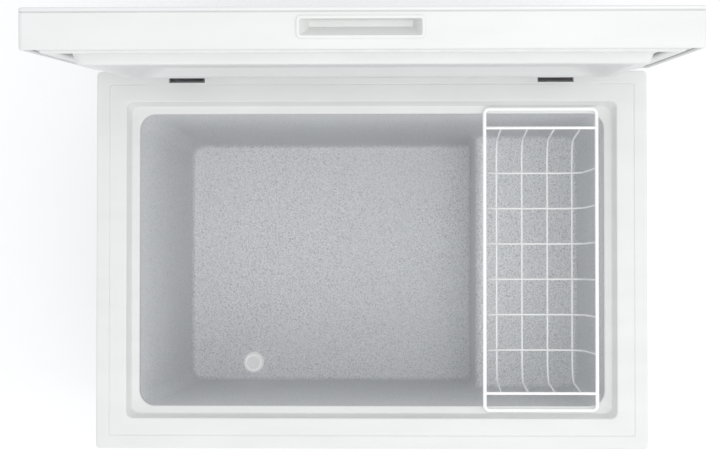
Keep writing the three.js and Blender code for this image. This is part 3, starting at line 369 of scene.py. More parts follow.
def coated_wire():
    """White epoxy on steel wire: glossy, with slow runs and sags in the coat, and a faint painted glow that
    keeps it bright in the tub's shade.
    """
    coat = {"Coat Weight": 0.5, "Coat Roughness": 0.1}
    # The emission is a painted glow: the wire gives no light of its own.
    r = Recipe("coated_wire", **coat, **{"Emission Strength": 0.1, "Emission Color": (1, 1, 1)})
    runs = r.clouds(150, 3, 0.5)
    r.feed(Base_Color=r.blend(runs.spread(0.3, 0.7), (0.87, 0.87, 0.865), (0.91, 0.91, 0.905)))
    r.feed(Roughness=0.25 + 0.15 * runs, Normal=r.relief(runs, 0.0002, 0.3))
    return r.material


def signal_lens(name, low, high):
    """A small tinted plastic lens, faintly lit from behind, with moulded ribs inside."""
    r = Recipe(name, **{"Roughness": 0.12, "Coat Weight": 0.6, "Emission Strength": 0.2})
    ribs = r.clouds(600, 2, 0.5, r.stretched(6, 1, 0.2))
    colour = r.blend(ribs.spread(0.35, 0.65), low, high)
    r.feed(Base_Color=colour, Emission_Color=colour)
    return r.material


def studio_floor():
    """Pale matt studio paper, evenly lit from under, with the least unevenness."""
    lit = {"Emission Strength": 0.12, "Emission Color": (1, 1, 1)}
    r = Recipe("studio_floor", Roughness=0.85, **lit)
    haze = r.clouds(1.3, 3)
    r.feed(Base_Color=r.blend(haze, (0.90, 0.90, 0.90), (0.93, 0.93, 0.93)))
    return r.material


ENAMEL = sprayed_enamel()
WHITE = moulded_white("moulded_white", (0.755, 0.757, 0.745), (0.785, 0.787, 0.778))
# The drain plug's white carries a faint painted glow, so that it shows bright in the tub's shade.
BRIGHT_WITH_PAINTED_GLOW = moulded_white("bright_white_painted_glow", (0.95, 0.952, 0.945), (0.97, 0.972, 0.968), painted_glow=0.14)
STUCCO = stucco_sheet()
ZINC = zinc_sheet()
PLATED = plain_metal("plated_steel", (0.42, 0.42, 0.43), (0.66, 0.66, 0.67), 0.24)
# Blued steel's own dark tone, also kept dark as painted shade for the inside of the hinge channels.
DARK_STEEL_AND_SHADE = plain_metal("blued_steel_and_painted_shade", (0.09, 0.09, 0.095), (0.24, 0.24, 0.245), 0.30)
COPPER = plain_metal("drawn_copper", (0.42, 0.17, 0.085), (0.78, 0.39, 0.23), 0.28)
BLACK = black_enamel()
FOAM = poured_foam()
RUBBER = soft_plastic("moulded_rubber", (0.018, 0.018, 0.018), (0.045, 0.044, 0.043), 0.62)
VINYL = soft_plastic("white_vinyl", (0.77, 0.77, 0.76), (0.83, 0.83, 0.82), 0.42, 500)
WIRE_WITH_PAINTED_GLOW = coated_wire()
GREY = soft_plastic("grey_plastic", (0.42, 0.43, 0.44), (0.50, 0.51, 0.52), 0.38)
BLACK_PLASTIC = soft_plastic("black_plastic", (0.015, 0.015, 0.016), (0.04, 0.04, 0.04), 0.45)
INK = soft_plastic("dial_ink", (0.03, 0.03, 0.035), (0.06, 0.06, 0.065), 0.5)
GREEN = signal_lens("green_lens", (0.01, 0.20, 0.04), (0.03, 0.42, 0.10))
RED = signal_lens("red_lens", (0.30, 0.01, 0.008), (0.62, 0.03, 0.02))


# ------------------------------------------------------------------ surfaces
def eased(corners, steps=6, closed=False):
    """A line through corners, each given as its place and then a radius. An inner corner
    becomes a round arc: the rational curve ((1-t)^2 a + 2wt(1-t) p + t^2 b) over the same sum
    of weights, where p is the corner, a and b lie on its two sides, and w is the cosine of half
    the turn. Works in two or three dimensions."""
    table = np.array(corners, float)
    places, radii = table[:, :-1], table[:, -1]
    line = []
    t = np.linspace(0, 1, steps + 1)[:, None]
    for i, (p, radius) in enumerate(zip(places, radii)):
        if radius == 0 or (not closed and i in (0, len(places) - 1)):
            line.append(p[None])
            continue
        before = places[i - 1] - p
        after = places[(i + 1) % len(places)] - p
        length = np.linalg.norm(before), np.linalg.norm(after)
        before, after = before / length[0], after / length[1]
        turn = math.pi - math.acos(float(np.clip(before @ after, -1, 1)))
        if turn < 1e-4:
            line.append(p[None])
            continue
        back = min(radius * math.tan(turn / 2), 0.499 * min(length))
        w = math.cos(turn / 2)
        a, b = p + before * back, p + after * back
        weights = (1 - t) ** 2, 2 * w * t * (1 - t), t ** 2
        line.append((weights[0] * a + weights[1] * p + weights[2] * b) / sum(weights))
    return np.concatenate(line)


def level_loops(inset, corner, steps=10, half=(HALF_X, HALF_Y), back=()):
    """Rounded rectangles, one for each inset: at corner (sx, sy) and angle a, the point is
    s * (half - inset - r) + r * (cos a, sin a). Extra points at given x lie on the back side."""
    inset = np.atleast_1d(np.asarray(inset, float))
    r = np.broadcast_to(np.asarray(corner, float), inset.shape)
    angle = (np.arange(4)[:, None] + np.linspace(0, 1, steps + 1)) * (np.pi / 2)
    sx = np.array([1, -1, -1, 1])[None, :, None]
    sy = np.array([1, 1, -1, -1])[None, :, None]
    reach_x, reach_y = half[0] - inset - r, half[1] - inset - r
    x = sx * reach_x[:, None, None] + r[:, None, None] * np.cos(angle)
    y = sy * reach_y[:, None, None] + r[:, None, None] * np.sin(angle)
    loops = np.stack([x, y], -1)
    first, rest = loops[:, 0], loops[:, 1:].reshape(len(inset), -1, 2)
    stations = np.zeros((len(inset), len(back), 2))
    stations[..., 0] = np.clip(np.array(back, float)[None], -reach_x[:, None], reach_x[:, None])
    stations[..., 1] = (half[1] - inset)[:, None]
    return np.concatenate([first, stations, rest], 1)


def raised(loops, z):
    """Level loops lifted to a height for each."""
    height = np.broadcast_to(np.asarray(z, float)[:, None], loops.shape[:2])
    return np.concatenate([loops, height[..., None]], -1)


def opened(points):
    """Points of the shut lid, turned about the hinge's axis to where the lid stands."""
    y, z = points[..., 1] - HINGE_Y, points[..., 2] - HINGE_Z
    c, s = math.cos(OPENED), math.sin(OPENED)
    return np.stack([points[..., 0], HINGE_Y + y * c + z * s, HINGE_Z - y * s + z * c], -1)


def net(rows, columns, rows_close=False, columns_close=True):
    """The point numbers of every four-sided face in a grid of points that is kept row by row."""
    i = np.arange(rows if rows_close else rows - 1)
    k = np.arange(columns if columns_close else columns - 1)
    i, k = np.meshgrid(i, k, indexing="ij")
    up, on = (i + 1) % rows, (k + 1) % columns
    return np.stack([i * columns + k, i * columns + on, up * columns + on, up * columns + k], -1)


class Skin:
    """Points and faces gathered for one piece."""

    def __init__(self):
        self.points = []
        self.faces = []
        self.count = 0

    def add(self, points, faces, facing=None):
        """Faces are turned to look away from the middle of their points, or along facing."""
        points = np.asarray(points, float).reshape(-1, 3)
        quads = np.array([f for f in faces if len(f) == 4])
        a, b, c, d = (points[quads[:, k]] for k in range(4))
        normals = np.cross(c - a, d - b)
        if facing is None:
            way = (a + b + c + d) / 4 - (points.min(0) + points.max(0)) / 2
        else:
            way = np.broadcast_to(np.array(facing, float), a.shape)
        turned_round = float((normals * way).sum()) < 0
        shifted = [[i + self.count for i in (f[::-1] if turned_round else f)] for f in faces]
        self.points.append(points)
        self.faces.extend(shifted)
        self.count += len(points)
        return self

    def grid(self, points, rows_close=False, columns_close=True, caps=False, facing=None, keep=None):
        """A grid of points (rows, columns, 3) joined by four-sided faces, or by those to keep."""
        rows, columns = points.shape[:2]
        quads = net(rows, columns, rows_close, columns_close)
        faces = (quads if keep is None else quads[keep]).reshape(-1, 4).tolist()
        if caps:
            last = (rows - 1) * columns
            faces += [list(range(columns))[::-1], list(range(last, last + columns))]
        return self.add(points, faces, facing)

    def mesh(self, name):
        """The points set down in the row frame, in metres, as a mesh."""
        points = np.concatenate(self.points) * 0.001
        points[:, 1] += 0.001 * MIDDLE_Y
        made = bpy.data.meshes.new(name)
        made.from_pydata(points.tolist(), [], self.faces)
        return made


def make(name, skin, finish, body, stands_for=(), sharp=38, thick=0.0, even=True):
    """Makes a piece of a skin: its doubles merged, its normals smooth up to an angle, and if
    asked given a thickness behind its faces."""
    mesh = skin.mesh(name)
    work = bmesh.new()
    work.from_mesh(mesh)
    bmesh.ops.remove_doubles(work, verts=work.verts, dist=1e-6)
    bmesh.ops.dissolve_degenerate(work, edges=work.edges, dist=1e-7)
    work.to_mesh(mesh)
    work.free()
    piece = bpy.data.objects.new(name, mesh)
    scene.collection.objects.link(piece)
    if thick:
        wall = piece.modifiers.new("wall", "SOLIDIFY")
        wall.thickness = thick * 0.001
        wall.offset = -1
        wall.use_even_offset = even
    return dress(piece, finish, body, stands_for, sharp)


def dress(piece, finish, body, stands_for, sharp):
    """Gives a piece its finish and its shading, and says what it rides on and stands for."""
    mesh = piece.data
    mesh.materials.clear()
    mesh.materials.append(finish)
    mesh.shade_smooth()
    mesh.set_sharp_from_angle(angle=math.radians(sharp))
    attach(piece, body)
    if stands_for:
        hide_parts(*stands_for)
    return piece


def softened(node, finish, width):
    """A copy of a sheet or block node with its loose triangles merged into whole faces and its
    edges broken by a small round."""
    source = frame["nodes"][node]
    piece = bpy.data.objects.new(f"{node}_fine", source.data.copy())
    scene.collection.objects.link(piece)
    work = bmesh.new()
    work.from_mesh(piece.data)
    bmesh.ops.remove_doubles(work, verts=work.verts, dist=2e-6)
    bmesh.ops.dissolve_limit(work, angle_limit=math.radians(1), verts=work.verts, edges=work.edges)
    hard = [e for e in work.edges if len(e.link_faces) == 2 and e.calc_face_angle(0) > math.radians(32)]
    if width:
        bmesh.ops.bevel(work, geom=hard, offset=width * 0.001, segments=2, profile=0.5,
                        affect="EDGES", clamp_overlap=True)
    bmesh.ops.triangulate(work, faces=[f for f in work.faces if len(f.verts) > 4])
    work.to_mesh(piece.data)
    work.free()
    return dress(piece, finish, source["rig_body"], (node,), 30)


def bored(piece, skin):
    """Cuts a closed skin out of a piece and leaves the edge clean."""
    cutter = bpy.data.objects.new("cutter", skin.mesh("cutter"))
    scene.collection.objects.link(cutter)
    hole = piece.modifiers.new("hole", "BOOLEAN")
    hole.object = cutter
    hole.solver = "EXACT"
    bpy.context.view_layer.update()
    solid = piece.evaluated_get(bpy.context.evaluated_depsgraph_get())
    mesh = bpy.data.meshes.new_from_object(solid)
    old = piece.data
    piece.modifiers.clear()
    piece.data = mesh
    bpy.data.meshes.remove(old)
    bpy.data.objects.remove(cutter)
    mesh.name = piece.name
    mesh.shade_smooth()
    mesh.set_sharp_from_angle(angle=math.radians(34))


def block(x, y, z):
    """A plain box between pairs of limits."""
    plan = ((x[0], y[0]), (x[1], y[0]), (x[1], y[1]), (x[0], y[1]))
    corners = np.array([[(a, b, height) for a, b in plan] for height in z])
    return Skin().grid(corners, caps=True)


def turned(profile, centre, axis, segments, steps=5):
    """A profile of (radius, height, easing) turned about an axis through centre: the point is
    centre + h * axis + r * (cos a * side + sin a * up). Heights run along +z, +x or -y."""
    line = eased(profile, steps)
    a = np.linspace(0, 2 * np.pi, segments, endpoint=False)
    r, h = line[:, :1], line[:, 1:]
    ring = np.stack([r * np.cos(a), r * np.sin(a), np.broadcast_to(h, (len(line), segments))], -1)
    if axis == "x":
        ring = ring[..., [2, 0, 1]]
    elif axis == "y":
        ring = ring[..., [0, 2, 1]] * (1, -1, 1)
    return Skin().grid(ring + np.array(centre, float))


def rod(radius, reach, centre, axis, segments):
    """A plain round bar that reaches as far to both sides of its centre, for cutting with."""
    outline = [(0, -reach, 0), (radius, -reach, 0), (radius, reach, 0), (0, reach, 0)]
    return turned(outline, centre, axis, segments)


def tube(path, radius, sides, skin, closed=False):
    """A round wire along a path: circles in the plane across the path's own direction, with
    a side arm carried along and kept square to it, so that the wire never twists."""
    ahead = np.roll(path, -1, 0) - path
    behind = path - np.roll(path, 1, 0)
    if not closed:
        ahead[-1], behind[0] = behind[-1], ahead[0]
    unit = [v / np.linalg.norm(v, axis=1, keepdims=True) for v in (ahead, behind)]
    tangent = unit[0] + unit[1]
    tangent /= np.linalg.norm(tangent, axis=1, keepdims=True)
    arm = np.cross(tangent[0], (0.3, 0.5, 0.8))
    arms = []
    for direction in tangent:
        arm = arm - (arm @ direction) * direction
        arm = arm / np.linalg.norm(arm)
        arms.append(arm)
    side = np.array(arms)
    up = np.cross(tangent, side)
    a = np.linspace(0, 2 * np.pi, sides, endpoint=False)[None, :, None]
    rings = path[:, None] + radius * (np.cos(a) * side[:, None] + np.sin(a) * up[:, None])
    return skin.grid(rings, rows_close=closed, caps=not closed)


# ------------------------------------------------------------------ cabinet shell
def wrap_around():
    """The white steel wrap: a line in plan from one back return, round the four eased corners,
    to the other, drawn straight up. Thickness lies behind it."""
    mouth = WRAP_X - 12
    back = WRAP_Y - SHEET - GAP
    plan = eased([(mouth, back, 0), (WRAP_X, back, 6), (WRAP_X, -WRAP_Y, 6), (-WRAP_X, -WRAP_Y, 6),
                  (-WRAP_X, back, 6), (-mouth, back, 0)], 10)
    heights = np.array([WRAP_BOTTOM, WRAP_BOTTOM + 0.5, 400, WRAP_TOP - 15, WRAP_TOP])
    points = np.zeros((len(heights), len(plan), 3))
    points[..., :2] = plan[None]
    points[..., 2] = heights[:, None]
    keep = np.ones((len(heights) - 1, len(plan) - 1), bool)
    keep[-1, [0, -1]] = False
    piece = make("outer_wrap_fine", Skin().grid(points, columns_close=False, keep=keep), ENAMEL,
                 "cabinet", ("outer_wrap",), thick=SHEET)
    x, z = CONTROL
    bored(piece, block((x - 64, x + 64), (-WRAP_Y - 9, -WRAP_Y + 9), (z - 25, z + 25)))
    across, height = ((middle - half, middle + half) for middle, half in zip(VENT, VENT_HALF))
    bored(piece, block((WRAP_X - 9, WRAP_X + 9), across, height))
    bored(piece, rod(10.8, 20, (DRAIN[0], -WRAP_Y, DRAIN_TUBE_Z), "y", 32))


def collar():
    """The moulded collar over the rim: a profile of inset against height, carried round the
    rounded plan, whose corner radius grows with the inset. At the hinges its back margin drops
    into a well, and the fine groove stops short of them."""
    outer = eased([(0, -24, 0), (0, 0, 3), (WELL_REACH, 0, 0)], 8)
    inner = eased([(WELL_REACH, 0, 0), (18.0, 0, 0.5), (19, -1.2, 0.4), (20, 0, 0.5), (44, 0, 2.2),
                   (49.6, -20, 2.4), (60.8, -20.8, 3.0), (60.8, -32, 0)], 7)
    line = np.concatenate([outer, inner])
    s, z = line[:, 0], line[:, 1]
    corner = np.interp(s, [0, 3, 20, 43, 45, 49, 51, 56.5, 60.8], [6, 4.4, 4, 9, 10, 12, 13, 21, 22.5])
    near, far = WELL_X
    # Stations along the back from right to left: place, in the well or not, grooved or not.
    right = [(333, 0, 1), (331, 0, 0), (far, 0, 0), (far, 1, 0), (269, 1, 0), (267, 1, 1), (near, 1, 1),
             (near, 0, 1)]
    left = [(-240, 0, 1), (-near, 0, 0), (-near, 1, 0), (-far, 1, 0), (-far, 0, 0), (-329, 0, 0),
            (-331, 0, 1)]
    stations = np.array(right + left, float)
    steps = 12
    loops = raised(level_loops(s, corner, steps, back=stations[:, 0]), z + RIM)
    columns = np.zeros((loops.shape[1], 2))
    columns[:, 1] = 1
    columns[steps + 1 : steps + 1 + len(stations)] = stations[:, 1:]
    in_well, grooved = columns[:, 0] == 1, columns[:, 1] == 1
    rows_out = np.arange(len(line)) < len(outer)
    height = loops[..., 2] - RIM
    height = np.where(rows_out[:, None] & in_well[None], np.minimum(height, -WELL_DEPTH), height)
    groove = (np.abs(s - 19) < 1.6) & (z > -2)
    height = np.where(groove[:, None] & ~grooved[None], 0.0, height)
    loops[..., 2] = height + RIM
    make("rim_collar_fine", Skin().grid(loops, facing=(0, 0, 1)), WHITE, "cabinet", ("rim_collar",),
         sharp=50, thick=1.4, even=False)


def tub_columns(steps=8):
    """For each column round the tub: its corner point at the foot of the wall, the level way
    in from the wall, and the way out of the surface it stands on. Along the front and the back
    the foot follows the floor, the hollow bend, the face of the hump and its round crest."""
    a = np.linspace(0, np.pi / 2, steps + 1)[1:-1]
    bend, crest = FOOT_BEND, CREST
    face = np.linspace(FLOOR + bend, HUMP_TOP - crest, 9)
    sides = [
        (np.linspace(TUB_CORNER - TUB_X, HUMP_X - bend, 8), np.full(8, FLOOR), np.zeros(8), np.ones(8)),
        (HUMP_X - bend + bend * np.sin(a), FLOOR + bend - bend * np.cos(a), -np.sin(a), np.cos(a)),
        (np.full(9, HUMP_X), face, -np.ones(9), np.zeros(9)),
        (HUMP_X + crest - crest * np.cos(a), HUMP_TOP - crest + crest * np.sin(a), -np.cos(a), np.sin(a)),
        (np.linspace(HUMP_X + crest, TUB_X - TUB_CORNER, 5), np.full(5, HUMP_TOP), np.zeros(5), np.ones(5)),
    ]
    x, z, out_x, out_z = (np.concatenate(parts) for parts in zip(*sides))
    none, one = np.zeros_like(x), np.ones_like(x)
    front = np.stack([x, one * -TUB_Y, z, none, one, out_x, out_z], -1)
    back = front[::-1] * (1, -1, 1, 1, -1, 1, 1)
    turns = np.linspace(0, np.pi / 2, 11)
    columns = []
    for quarter, (sx, sy) in enumerate(((1, 1), (-1, 1), (-1, -1), (1, -1))):
        angle = turns + quarter * np.pi / 2
        angle = angle[1:] if quarter % 2 else angle[:-1]
        c, s = np.cos(angle), np.sin(angle)
        x = sx * (TUB_X - TUB_CORNER) + TUB_CORNER * c
        y = sy * (TUB_Y - TUB_CORNER) + TUB_CORNER * s
        foot = np.full_like(c, FLOOR if sx < 0 else HUMP_TOP)
        columns.append(np.stack([x, y, foot, -c, -s, 0 * c, 0 * c + 1], -1))
        if quarter == 0:
            columns.append(back)
        if quarter == 2:
            columns.append(front)
    return np.concatenate(columns), len(columns[0]), len(front)


def tub():
    """The embossed metal tub. Wall rows run straight down each column to the bend b above its
    foot, then the bend turns in: foot + b (1 - sin f) * way in + b (1 - cos f) * way up, for f
    from a quarter turn to nothing. Flat faces join the front of the floor and the hump to the
    back."""
    columns, corner_count, side_count = tub_columns()
    count = len(columns)
    foot = columns[:, :3]
    way_in = np.concatenate([columns[:, 3:5], np.zeros((count, 1))], 1)
    way_up = np.stack([columns[:, 5], np.zeros(count), columns[:, 6]], 1)
    low = foot + FOOT_BEND * way_up
    crest_z = HUMP_TOP - CREST
    bands = np.concatenate([np.linspace(TUB_TOP, crest_z, 12)[:-1],
                            np.linspace(crest_z, FLOOR + FOOT_BEND, 9)])
    share = np.clip((bands[:, None] - crest_z) / (TUB_TOP - crest_z), 0, 1)
    from_hump = low[None, :, 2] + share * (TUB_TOP - low[None, :, 2])
    on_hump = low[:, 2] > crest_z - 0.001
    from_floor = np.maximum(bands[:, None], low[None, :, 2])
    rows = np.repeat(low[None], len(bands), 0)
    rows[..., 2] = np.where(on_hump[None], from_hump, from_floor)
    f = np.linspace(np.pi / 2, 0, 8)[1:, None, None]
    bend = foot + FOOT_BEND * ((1 - np.sin(f)) * way_in + (1 - np.cos(f)) * way_up)
    points = np.concatenate([rows, bend])
    faces = net(len(points), count).reshape(-1, 4).tolist()
    last = (len(points) - 1) * count
    back = last + corner_count
    faces_back = (foot[:, 1] < -TUB_Y + 1e-6) & (way_in[:, 1] > 0.999)
    front = last + int(np.flatnonzero(faces_back)[0])
    for k in range(side_count - 1):
        across = front + side_count - 1 - k
        faces.append([back + k, back + k + 1, across - 1, across])
    faces.append(list(range(back + side_count - 1, front + 1)))
    faces.append([*range(front + side_count - 1, last + count), *range(last, back + 1)])
    piece = make("inner_liner_fine", Skin().add(points, faces, (0, 0, 1)), STUCCO, "cabinet",
                 ("inner_liner",), sharp=60, thick=SHEET)
    bored(piece, rod(9, 12, (*DRAIN, FLOOR), "z", 32))


# ------------------------------------------------------------------ lid
def lid_ring(corners, closed, steps=6):
    """A profile of (inset, height over the lid's underside, easing) carried round the plan of
    the shut lid. The plan's corner radius follows the inset."""
    line = eased(corners, steps, closed)
    s, z = line[:, 0], line[:, 1]
    corner = np.interp(s, [0, 5, 18, 36, 50, 60, 74, 106], [6, 4, 4, 6, 10, 15, 18, 30])
    return raised(level_loops(s, corner, 12), z + LID_BOTTOM)


def lid_sheet(corners, steps, level):
    """A sheet of the lid, its last loop filled flat. It faces up on the shut lid where level is
    1 and down where it is -1."""
    loops = lid_ring(corners, False, steps)
    rows, columns = loops.shape[:2]
    faces = net(rows, columns).reshape(-1, 4).tolist()
    faces.append(list(range((rows - 1) * columns, rows * columns)))
    ends = opened(np.array([[0, 0, level], [0, 0, 0]], float))
    return Skin().add(opened(loops), faces, ends[0] - ends[1])


def lid_frame():
    """The moulded frame round the lid's edge, a closed profile with a rolled lower edge."""
    loops = lid_ring([(0, 2.4, 1.2), (0.7, 0.5, 1.2), (2.4, 0, 1.6), (4.2, 0.5, 1.0), (4.8, 2.4, 1.2),
                      (4.2, 4.4, 1.0), (2.4, 6.4, 0.8), (2.4, 47.6, 0), (1.3, 47.6, 0), (1.3, 43.3, 0),
                      (0, 43.3, 0.5)], True)
    piece = make("lid_frame_fine", Skin().grid(opened(loops), rows_close=True), WHITE, "lid",
                 ("lid_frame",), sharp=40)
    window = block((-72.6, 72.6), (-HALF_Y - 6, -HALF_Y + 10), (HANDLE_Z - 10.9, HANDLE_Z + 10.9))
    window.points = [opened(p) for p in window.points]
    bored(piece, window)


def lid_top():
    """The steel top of the lid: a flat field with an eased edge and a short skirt."""
    skin = lid_sheet([(0, 44.6, 0), (0, 50, 3), (60, 50, 0), (120, 50, 0), (200, 50, 0)], 9, 1)
    make("lid_top_panel_fine", skin, ENAMEL, "lid", ("lid_top_panel",), thick=SHEET)


def lid_inside():
    """The white inner panel: a flat margin, the gasket's seat, then a raised rim round a wide
    shallow dish, all one vacuum-formed sheet."""
    skin = lid_sheet([(5.4, 3.6, 0), (18, 3.6, 1.2), (19.5, 4.4, 1), (36, 4.4, 1), (38, 3.0, 2),
                      (49.6, 2.4, 2.2), (53, -1.2, 2), (57, -14.6, 5), (74, -15, 5), (80, -12.6, 5),
                      (97, -1, 9), (118, 0.4, 0), (200, 0.4, 0)], 7, -1)
    make("lid_inner_panel_fine", skin, WHITE, "lid", ("lid_inner_panel",), sharp=60,
         thick=1.5)


def lid_seal():
    """The magnetic gasket: a soft bellows with a rounded face, closed on itself."""
    loops = lid_ring([(19.8, 3.9, 0.3), (19.8, -0.2, 0.8), (21.6, -2.4, 1.2), (26, -2.7, 1.5),
                      (29.6, -2.2, 1.5), (33.4, -2.7, 1.2), (35.4, -1.6, 1.1), (35.4, 0.6, 0.8),
                      (32.6, 1.6, 0.8), (32.6, 3.9, 0.3)], True, 4)
    make("lid_gasket_fine", Skin().grid(opened(loops), rows_close=True), VINYL, "lid",
         ("lid_gasket",), sharp=50)


def rectangle_loop(half_x, z0, z1, r, y, steps=7):
    """A rounded rectangle standing in the plane of the lid's front, at depth y."""
    loop = level_loops(0, r, steps, (half_x, (z1 - z0) / 2))[0]
    return np.stack([loop[:, 0], np.full(len(loop), y), loop[:, 1] + (z0 + z1) / 2], -1)


def handle():
    """The finger recess in the lid's front edge: a raised bead round the mouth, then a scoop
    whose lower face slopes up to a short deep end and whose ends draw in. Loop by loop, from
    the back of the bead, over it and down into the scoop, then back out along its outside."""
    z, half_x, half_z = HANDLE_Z, 75.0, 13.3
    mouth_x, mouth_z = half_x - 4, half_z - 4
    front = -HALF_Y - 1.5
    mouth, deep = front + 2.2, -HALF_Y + 20
    wall = 1.3
    behind_front = -HALF_Y + 1.5

    def scoop(share, grown, depth, r):
        """A loop of the scoop, whose lower side rises and whose ends draw in with the share."""
        low = z - mouth_z + (2 * mouth_z - 8) * share - grown
        return rectangle_loop(mouth_x - 10 * share + grown, low, z + mouth_z + grown, r, depth)

    bead = eased([(0, -HALF_Y - GAP, 0), (0, front, 0.9), (-3.6, front, 1.0), (-4.0, mouth, 0)], 6)
    loops = [rectangle_loop(half_x + out, z - half_z - out, z + half_z + out, max(5 + 0.75 * out, 0.8), depth)
             for out, depth in bead]
    loops += [scoop(share, 0, mouth + (deep - mouth) * share, 2.2 - 0.9 * share)
              for share in np.linspace(0.06, 1, 10)]
    inner = len(loops)
    loops += [scoop(share, wall, behind_front + (deep + wall - behind_front) * share, 2.6)
              for share in np.linspace(1, 0, 6)]
    loops.append(scoop(0, wall, -HALF_Y - GAP, 2.6))
    points = np.array(loops)
    rows, columns = points.shape[:2]
    keep = np.arange(rows) != inner - 1
    faces = net(rows, columns, rows_close=True)[keep].reshape(-1, 4).tolist()
    faces.append(list(range((inner - 1) * columns, inner * columns)))
    faces.append(list(range(inner * columns, (inner + 1) * columns))[::-1])
    make("lid_handle_fine", Skin().add(opened(points), faces), WHITE, "lid", ("lid_handle",),
         sharp=42)


# ------------------------------------------------------------------ basket and drain
def basket():
    """The wire basket: a thick loop that hangs on the ledge at its two ends, a bar across near
    each end, and a mesh of four long and six cross wires bent up at their ends and welded on."""
    left, right = BASKET_X
    front, back = BASKET_BARS
    end = BASKET_END
    z = RIM - 20 + GAP + LOOP_RADIUS
    bottom = z - BASKET_DEPTH
    above = bottom + 2.6
    skin = Skin()
    rim = [(left, -end, z, 7), (right, -end, z, 7), (right, end, z, 7), (left, end, z, 7)]
    tube(eased(rim, 10, True), LOOP_RADIUS, 18, skin, closed=True)
    for y in (front, back):
        tube(np.array([(left, y, z), ((left + right) / 2, y, z), (right, y, z)]), BAR_RADIUS, 16, skin)
    for x in (190, 229, 268, 306):
        wire = [(x, front, z, 0), (x, front + 9, bottom, 36), (x, back - 9, bottom, 36), (x, back, z, 0)]
        tube(eased(wire, 12), MESH_RADIUS, 12, skin)
    for row in range(6):
        y = -138 + 54.4 * row
        wire = [(left, y, z, 0), (left + 9, y, above, 36), (right - 9, y, above, 36), (right, y, z, 0)]
        tube(eased(wire, 12), MESH_RADIUS, 12, skin)
    make("wire_basket_fine", skin, WIRE_WITH_PAINTED_GLOW, "basket", ("wire_basket",), sharp=60)


def drain_pieces():
    """The white plug in the floor, with a groove round its middle, and the cap on the outside
    of its tube."""
    z = FLOOR + GAP
    plug = turned([(0, z - 12, 0), (5, z - 12, 1), (7.8, z - 8, 1), (8, z, 0), (18.5, z, 0.5),
                   (18.5, z + 2.6, 1.2), (17, z + 3.4, 0.8), (14, z + 3.4, 0.5), (13.7, z + 0.7, 0.3),
                   (12.3, z + 0.7, 0.3), (11.9, z + 5.2, 0.8), (9.6, z + 5.6, 1.2), (2, z + 5.2, 1),
                   (0, z + 5.2, 0)], (*DRAIN, 0), "z", 64)
    make("drain_plug_fine", plug, BRIGHT_WITH_PAINTED_GLOW, "drain_plug", ("drain_plug",))
    cap = turned([(0, -9, 0), (6.8, -9, 0.8), (7.8, -7, 0.8), (7.8, 0, 0), (15, 0, 0.5), (15, 4, 1),
                  (13, 6, 2), (0, 5.7, 0)], (DRAIN[0], -WRAP_Y - 5 - GAP, DRAIN_TUBE_Z), "y", 56)
    make("drain_cap_fine", cap, WHITE, "drain_cap", ("drain_cap",))
    softened("drain_tube", GREY, 0)


# ------------------------------------------------------------------ controls
def controls():
    """The grey panel with its dial, the ticks round the dial, the knob and the two lenses."""
    x, z = CONTROL
    front = PANEL_Y - 2
    profile = eased([(0, PANEL_Y, 0), (0, front, 1.1), (-14, front, 0)], 6)
    plate = np.array([rectangle_loop(67 + out, z - 28 - out, z + 28 + out, 6 + 0.3 * out, y)
                      for out, y in profile])
    plate[..., 0] += x
    panel = make("control_bezel_fine", Skin().grid(plate, caps=True), GREY, "cabinet",
                 ("control_bezel",))
    bored(panel, rod(5, 30, (KNOB_X, front, z), "y", 32))
    for rise in (-LENS_RISE, LENS_RISE):
        bored(panel, rod(3.3, 30, (LENS_X, front, z + rise), "y", 24))
    dial_ticks(front, z)
    knob(front - GAP, z)
    for node, rise, finish, slot in (("power_lens", LENS_RISE, GREEN, "green_lens"),
                                     ("warning_lens", -LENS_RISE, RED, "red_lens")):
        lens = turned([(0, -6, 0), (3, -6, 0.3), (3, 0.4, 0.8), (1.6, 1.7, 1.5), (0, 1.8, 0)],
                      (LENS_X, front, z + rise), "y", 36)
        make(f"{node}_fine", lens, finish, "cabinet", (node,))


def dial_ticks(front, z):
    """Eleven printed ticks over 270 degrees, each fifth one longer and bolder."""
    ticks = Skin()
    for step in range(11):
        angle = math.radians(225 - 27 * step)
        c, s = math.cos(angle), math.sin(angle)
        bold = step % 5 == 0
        inner, outer = 19.2, 22.4 if bold else 21.2
        half = 0.45 if bold else 0.3
        corners = [(inner, -half), (outer, -half), (outer, half), (inner, half)]
        plan = [(KNOB_X + u * c - v * s, z + u * s + v * c) for u, v in corners]
        ring = np.array([[(a, y, b) for a, b in plan] for y in (front + 0.01, front - 0.06)])
        ticks.grid(ring, caps=True)
    make("dial_ticks", ticks, INK, "cabinet", ())


def knob(y, z):
    """The knob: a turned profile whose radius r loses 0.35 (1 - cos 24 a) / 2 on its side, as
    twenty-four shallow flutes, and a printed mark on its face."""
    a = np.linspace(0, 2 * np.pi, 144, endpoint=False)
    profile = eased([(0, -12, 0), (4.4, -12, 0.4), (4.4, 0, 0), (17, 0, 0.4), (17, 3, 0.8), (14.5, 5, 1),
                     (14.2, 12, 0.8), (13, 13.5, 0.6), (11, 12.7, 0.8), (0, 12.7, 0)], 5)
    r, h = profile[:, :1], profile[:, 1:]
    flute = np.where((h > 5.2) & (h < 12.6) & (r > 13), 0.35 * (1 - np.cos(24 * a)) / 2, 0)
    r = np.broadcast_to(r, flute.shape) - flute
    ring = np.stack([KNOB_X + r * np.cos(a), y - np.broadcast_to(h, r.shape), z + r * np.sin(a)], -1)
    make("thermostat_knob_fine", Skin().grid(ring), WHITE, "thermostat_knob", ("thermostat_knob",),
         sharp=44)
    mark = block((KNOB_X - 0.6, KNOB_X + 0.6), (y - 13.0, y - 12.6), (z + 3.6, z + 10.6))
    make("knob_mark", mark, INK, "thermostat_knob", ())


